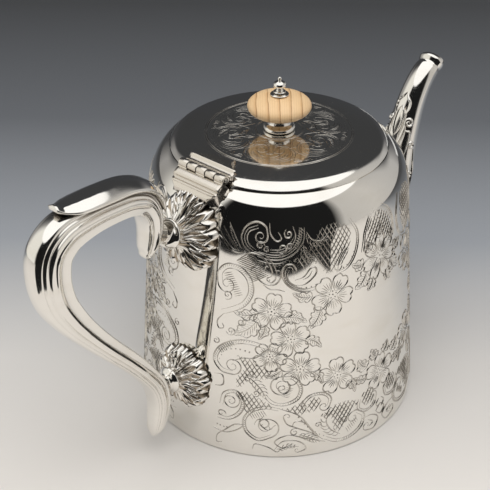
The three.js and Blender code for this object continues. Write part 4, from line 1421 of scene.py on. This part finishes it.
class Whorl:
    """A ring of hollow leaves on the wall, seen along X: across is towards -Y and up is +Z."""

    def __init__(self, centre_z, height, leaves, depth):
        self.centre_z, self.height, self.leaves, self.depth = centre_z, height, leaves, depth

    def edge_at(self, angle):
        """The outline's distance from the middle, and how far into a finger's hollow this angle is."""
        leaf = min(self.leaves, key=lambda item: abs(turn_from(item[0], angle)) / item[1])
        direction, half, reach, fingers = leaf[:4]
        local = max(-1, min(1, turn_from(direction, angle) / half))
        hollow = math.sin(fingers * math.pi / 2 * (local + 1)) ** 2
        return reach * (1 - 0.17 * abs(local) ** 3) * (0.9 + 0.1 * hollow**0.5), hollow

    def out_along(self, angle, share):
        """The point at a share of the way from the root to the edge, at an angle in degrees."""
        radius = ROOT_RADIUS + (self.edge_at(angle)[0] - ROOT_RADIUS) * share
        return radius * math.sin(math.radians(angle)), radius * math.cos(math.radians(angle))

    def place(self, across, up, lift):
        angle = math.degrees(math.atan2(across, up)) % 360
        edge, hollow = self.edge_at(angle)
        share = min(1, max(0, (math.hypot(across, up) - ROOT_RADIUS) / (edge - ROOT_RADIUS)))
        rise = self.height * float(np.interp(share, LEAF_RISE[:, 0], LEAF_RISE[:, 1]))
        rise -= self.depth * hollow * min(1, 3 * share) * min(1, 4 * (1 - share))
        z = self.centre_z + up
        return (round_x(outside_radius(z), across) - max(0.3, rise) - lift, -across, z)

    def skin(self):
        steps = 26
        rings = []
        for k in range(steps + 1):
            rings.append([self.place(*self.out_along(angle, k / steps), 0) for angle in range(360)])
        foot = []
        for _, y, z in rings[-1]:
            y, z = y * 0.93, self.centre_z + (z - self.centre_z) * 0.93
            foot.append((round_x(outside_radius(z), y) + 0.5, y, z))
        return grid(rings + [foot], caps=(True, False))

    def ridges(self, thickness):
        """Raised rims and veins: every finger is outlined, and a vein runs to each notch."""
        drawing = Drawing(0.5)
        for direction, half, _, fingers, sweep in self.leaves:

            def point(local, out):
                spread = half * local * (0.4 + 0.6 * out**0.7)
                return self.out_along((direction + spread + sweep * out * (1 - out) * 1.6) % 360, out)

            rim = [point(-0.97, 0.1), point(-0.97, 0.42)]
            width = 0.62 / fingers
            for k in range(fingers):
                middle = -1 + (2 * k + 1) / fingers
                rim += [point(middle - width, 0.9), point(middle, 0.97), point(middle + width, 0.9)]
                if k < fingers - 1:
                    rim.append(point(middle + 1 / fingers, 0.78))
            rim += [point(0.97, 0.42), point(0.97, 0.1)]
            drawing.stroke(rim, 0.95 * thickness)
            for k in range(1, fingers):
                local = -1 + 2 * k / fingers
                drawing.stroke([point(local, out) for out in (0.1, 0.45, 0.78)], 0.95 * thickness)
            for k in range(fingers):
                local = -1 + (2 * k + 1) / fingers
                vein = [point(local, 0.2), point(local + 0.05, 0.5), point(local, 0.8)]
                drawing.stroke(vein, 0.45 * thickness)
        return laid(drawing, self.place, 0.55)


def make_socket(name, node, leaves):
    low, high = box_mm(node)
    centre_z = (low.z + high.z) / 2
    height = -low.x - outside_radius(centre_z)
    outer = Whorl(centre_z, height, leaves, 1.3)
    inner = Whorl(centre_z, height + 0.9, BUDS, 0.9)
    piece(name, [outer.skin(), inner.skin()], HOLLOW_SILVER, "pot", node, sharp=60)
    ridges = [outer.ridges(1), inner.ridges(0.85)]
    piece(name + "_ridges", ridges, CAST_SILVER, "pot", sharp=60, solid=False)


make_socket("upper_acanthus", "upper_socket", UPPER_LEAVES)
make_socket("lower_acanthus", "lower_socket", LOWER_LEAVES)


UPPER_NECK = [
    (-69, 115.4, 5, 5.3), (-72, 116.2, 6, 6.6), (-73.4, 116.6, 6.5, 7.1), (-74.5, 116.9, 5.5, 6.1),
    (-75.8, 117.8, 3.9, 4.4), (-78.5, 119.2, 4.1, 4.7), (-82, 120.8, 4.7, 5.4),
]
LOWER_NECK = [
    (-73, 38, 5, 5.3), (-76, 38, 5.8, 6.2), (-77.6, 38, 6.1, 6.6), (-78.8, 38, 5.3, 5.7),
    (-80.2, 38, 3.9, 4.4), (-82.4, 38, 4.1, 4.7), (-84.5, 38, 4.7, 5.3),
]


def make_neck(name, node, guide):
    circle = [(sine, cosine) for cosine, sine in circle_points(40)]
    piece(name, [swept(guide, circle, 8, (0.1, 0.1))], CAST_SILVER, "pot", node)


make_neck("upper_stub", "upper_neck", UPPER_NECK)
make_neck("lower_stub", "lower_neck", LOWER_NECK)


# ---------------------------------------------------------------- lid engraving
LID_MOTIF_RADIUS = 22.5


def lid_surface(turn, hand):
    """Places motif points on the lid: the first number runs round it, the second out from its middle."""

    def surface(s, r, lift):
        angle = turn + hand * s / LID_MOTIF_RADIUS
        return (r * math.cos(angle), r * math.sin(angle), lid_top_z(r) + lift)

    return surface


def lid_ring(radius, width):
    drawing = Drawing()
    drawing.line([(s, radius) for s in np.linspace(0, 2 * math.pi * LID_MOTIF_RADIUS, 121)], width)
    return drawing


def lid_motif():
    d = Drawing()
    outer = [(0.3, 30.6), (4.5, 30.8), (9, 28.5), (11, 23.5), (9, 18.2), (5.2, 17)]
    d.scroll(outer, curl=(3.9, 1.6, -1), band=-1.2)
    d.scroll([(1, 13.5), (4, 12.6), (8, 13.4), (11.4, 16.5)], curl=(1.9, 1.1, 1))
    d.scroll([(0.4, 27.6), (3, 26.2), (5.2, 23.6)])
    d.scroll([(0.6, 17.5), (2.2, 20.5), (1.4, 24)], curl=(1.2, 1, 1))
    d.leaf(1.4, 16.5, 6.5, 13.8, 2.6, 3)
    d.leaf(9.4, 29.2, 11.6, 31.6, 2.2, 2)
    d.feather([(0.8, 29), (4, 28.6), (7, 26.4), (8.2, 23)], 2.2, 7, side=-1)
    d.dot_row([(2.5, 22), (3.4, 19.5), (5.4, 20.5)], 4)
    d.dot_row([(1.2, 31.9), (6, 32), (10.6, 31.4)], 7, 0.34, 0.34)
    d.lattice([(9.8, 19.5), (11.7, 21), (11.7, 27), (10.8, 25)], 1.3, 0.28)
    return d


def engrave_lid():
    """Six double motifs between pairs of rings."""
    motif = lid_motif()
    parts = []
    for k in range(6):
        for hand in (1, -1):
            parts.append(laid(motif, lid_surface(math.radians(30 + 60 * k), hand), 0.22, 0.6))
    for radius, width in ((33.6, 0.5), (34.5, 0.34), (10.7, 0.4), (11.3, 0.3)):
        parts.append(laid(lid_ring(radius, width), lid_surface(0, 1), 0.3, 0.8))
    parts = [facing(part, lambda middle: (0, 0, 1)) for part in parts]
    piece("lid_engraving", parts, ENGRAVED, "lid", sharp=60, solid=False)


engrave_lid()

# ---------------------------------------------------------------- spout ornament
def spout_leafwork():
    """One side of the spout's cast leaves, in mm across from the line along its back and up from its root."""
    d = Drawing(0.6)
    d.stroke([(0, 106), (1.6, 103.4), (3.4, 101.4), (3.6, 98.4), (2.9, 96)], 1)
    d.stroke([(0, 99.5), (1.7, 96.5), (2.1, 91.5), (1.3, 86.5), (0, 84)], 1)
    d.stroke([(2.9, 96), (4, 90), (3.2, 83), (1.6, 77)], 0.9)
    d.stroke([(3.6, 93), (5, 87), (4.4, 79), (3, 72)], 0.8)
    d.spiral(6, 91.8, 2.5, 1.7, 200, -1, 1)
    d.stroke([(3.6, 91), (5.2, 87.6), (7.6, 87.4), (8.4, 82), (8, 75)], 0.9)
    d.spiral(10.6, 80.5, 2.2, 1.6, 200, -1, 0.95)
    d.stroke([(8, 75), (9.6, 70), (12.5, 66), (13.2, 58)], 0.95)
    d.spiral(14.6, 64.5, 2.3, 1.4, 180, -1, 0.95)
    d.stroke([(13, 78.5), (14.5, 73), (16.6, 67), (17.2, 58), (18.6, 48), (18.4, 38)], 1.1)
    for k in range(4):
        tip, upper = (0.9 + 2.6 * k, 80 - 4 * k), (2.4 + 3 * k, 66 - 3 * k)
        d.stroke([tip, upper, (3.2 + 3.8 * k, 50 - 2 * k), (3.6 + 4.2 * k, 36)], 0.9)
        d.stroke([(2.2 + 2.6 * k, 74 - 4 * k), (3.6 + 3.2 * k, 60 - 3 * k), (4.6 + 3.8 * k, 46)], 0.55)
    d.stroke([(16.5, 56), (20, 52), (23.5, 46), (24, 40), (21.5, 37)], 1)
    d.stroke([(21, 50), (24.5, 47), (28, 42), (28.5, 36)], 0.8)
    return d


def make_spout_ornament():
    path, out, sizes, length = spout_frames()
    guide = np.column_stack([path, out, sizes])

    def surface(hand):
        def place(across, along, lift):
            x, z, out_x, out_z, w, d = (float(np.interp(along, length, column)) for column in guide.T)
            a = across / ((w + d) / 2)
            extra = lift + lip_swell(length[-1] - along, math.cos(a))
            section = [(-hand * (w + extra) * math.sin(a), (d + extra) * math.cos(a))]
            return ring_at((x, z), (out_x, out_z), section)[0]

        return place

    parts = [laid(spout_leafwork(), surface(hand), 0.5) for hand in (1, -1)]
    piece("spout_leafwork", parts, CAST_SILVER, "pot", sharp=60, solid=False)


make_spout_ornament()


# ---------------------------------------------------------------- the CAD nodes' own materials
NODE_MATERIALS = {"polished_silver": CAST_SILVER, "dull_silver": DULL, "knob_wood": WOOD}
SLOTS = {part["node"]: part["material_slot"] for part in frame["record"]["subparts"]}
for name, node in frame["nodes"].items():
    node.data.materials.clear()
    node.data.materials.append(NODE_MATERIALS[SLOTS[name]])
    node.data.shade_smooth()
    node.data.set_sharp_from_angle(angle=math.radians(35))

boxes = {"cad": cad_bounds, "visual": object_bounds()}
{key: [[round(c, 6) for c in corner] for corner in box] for key, box in boxes.items()}
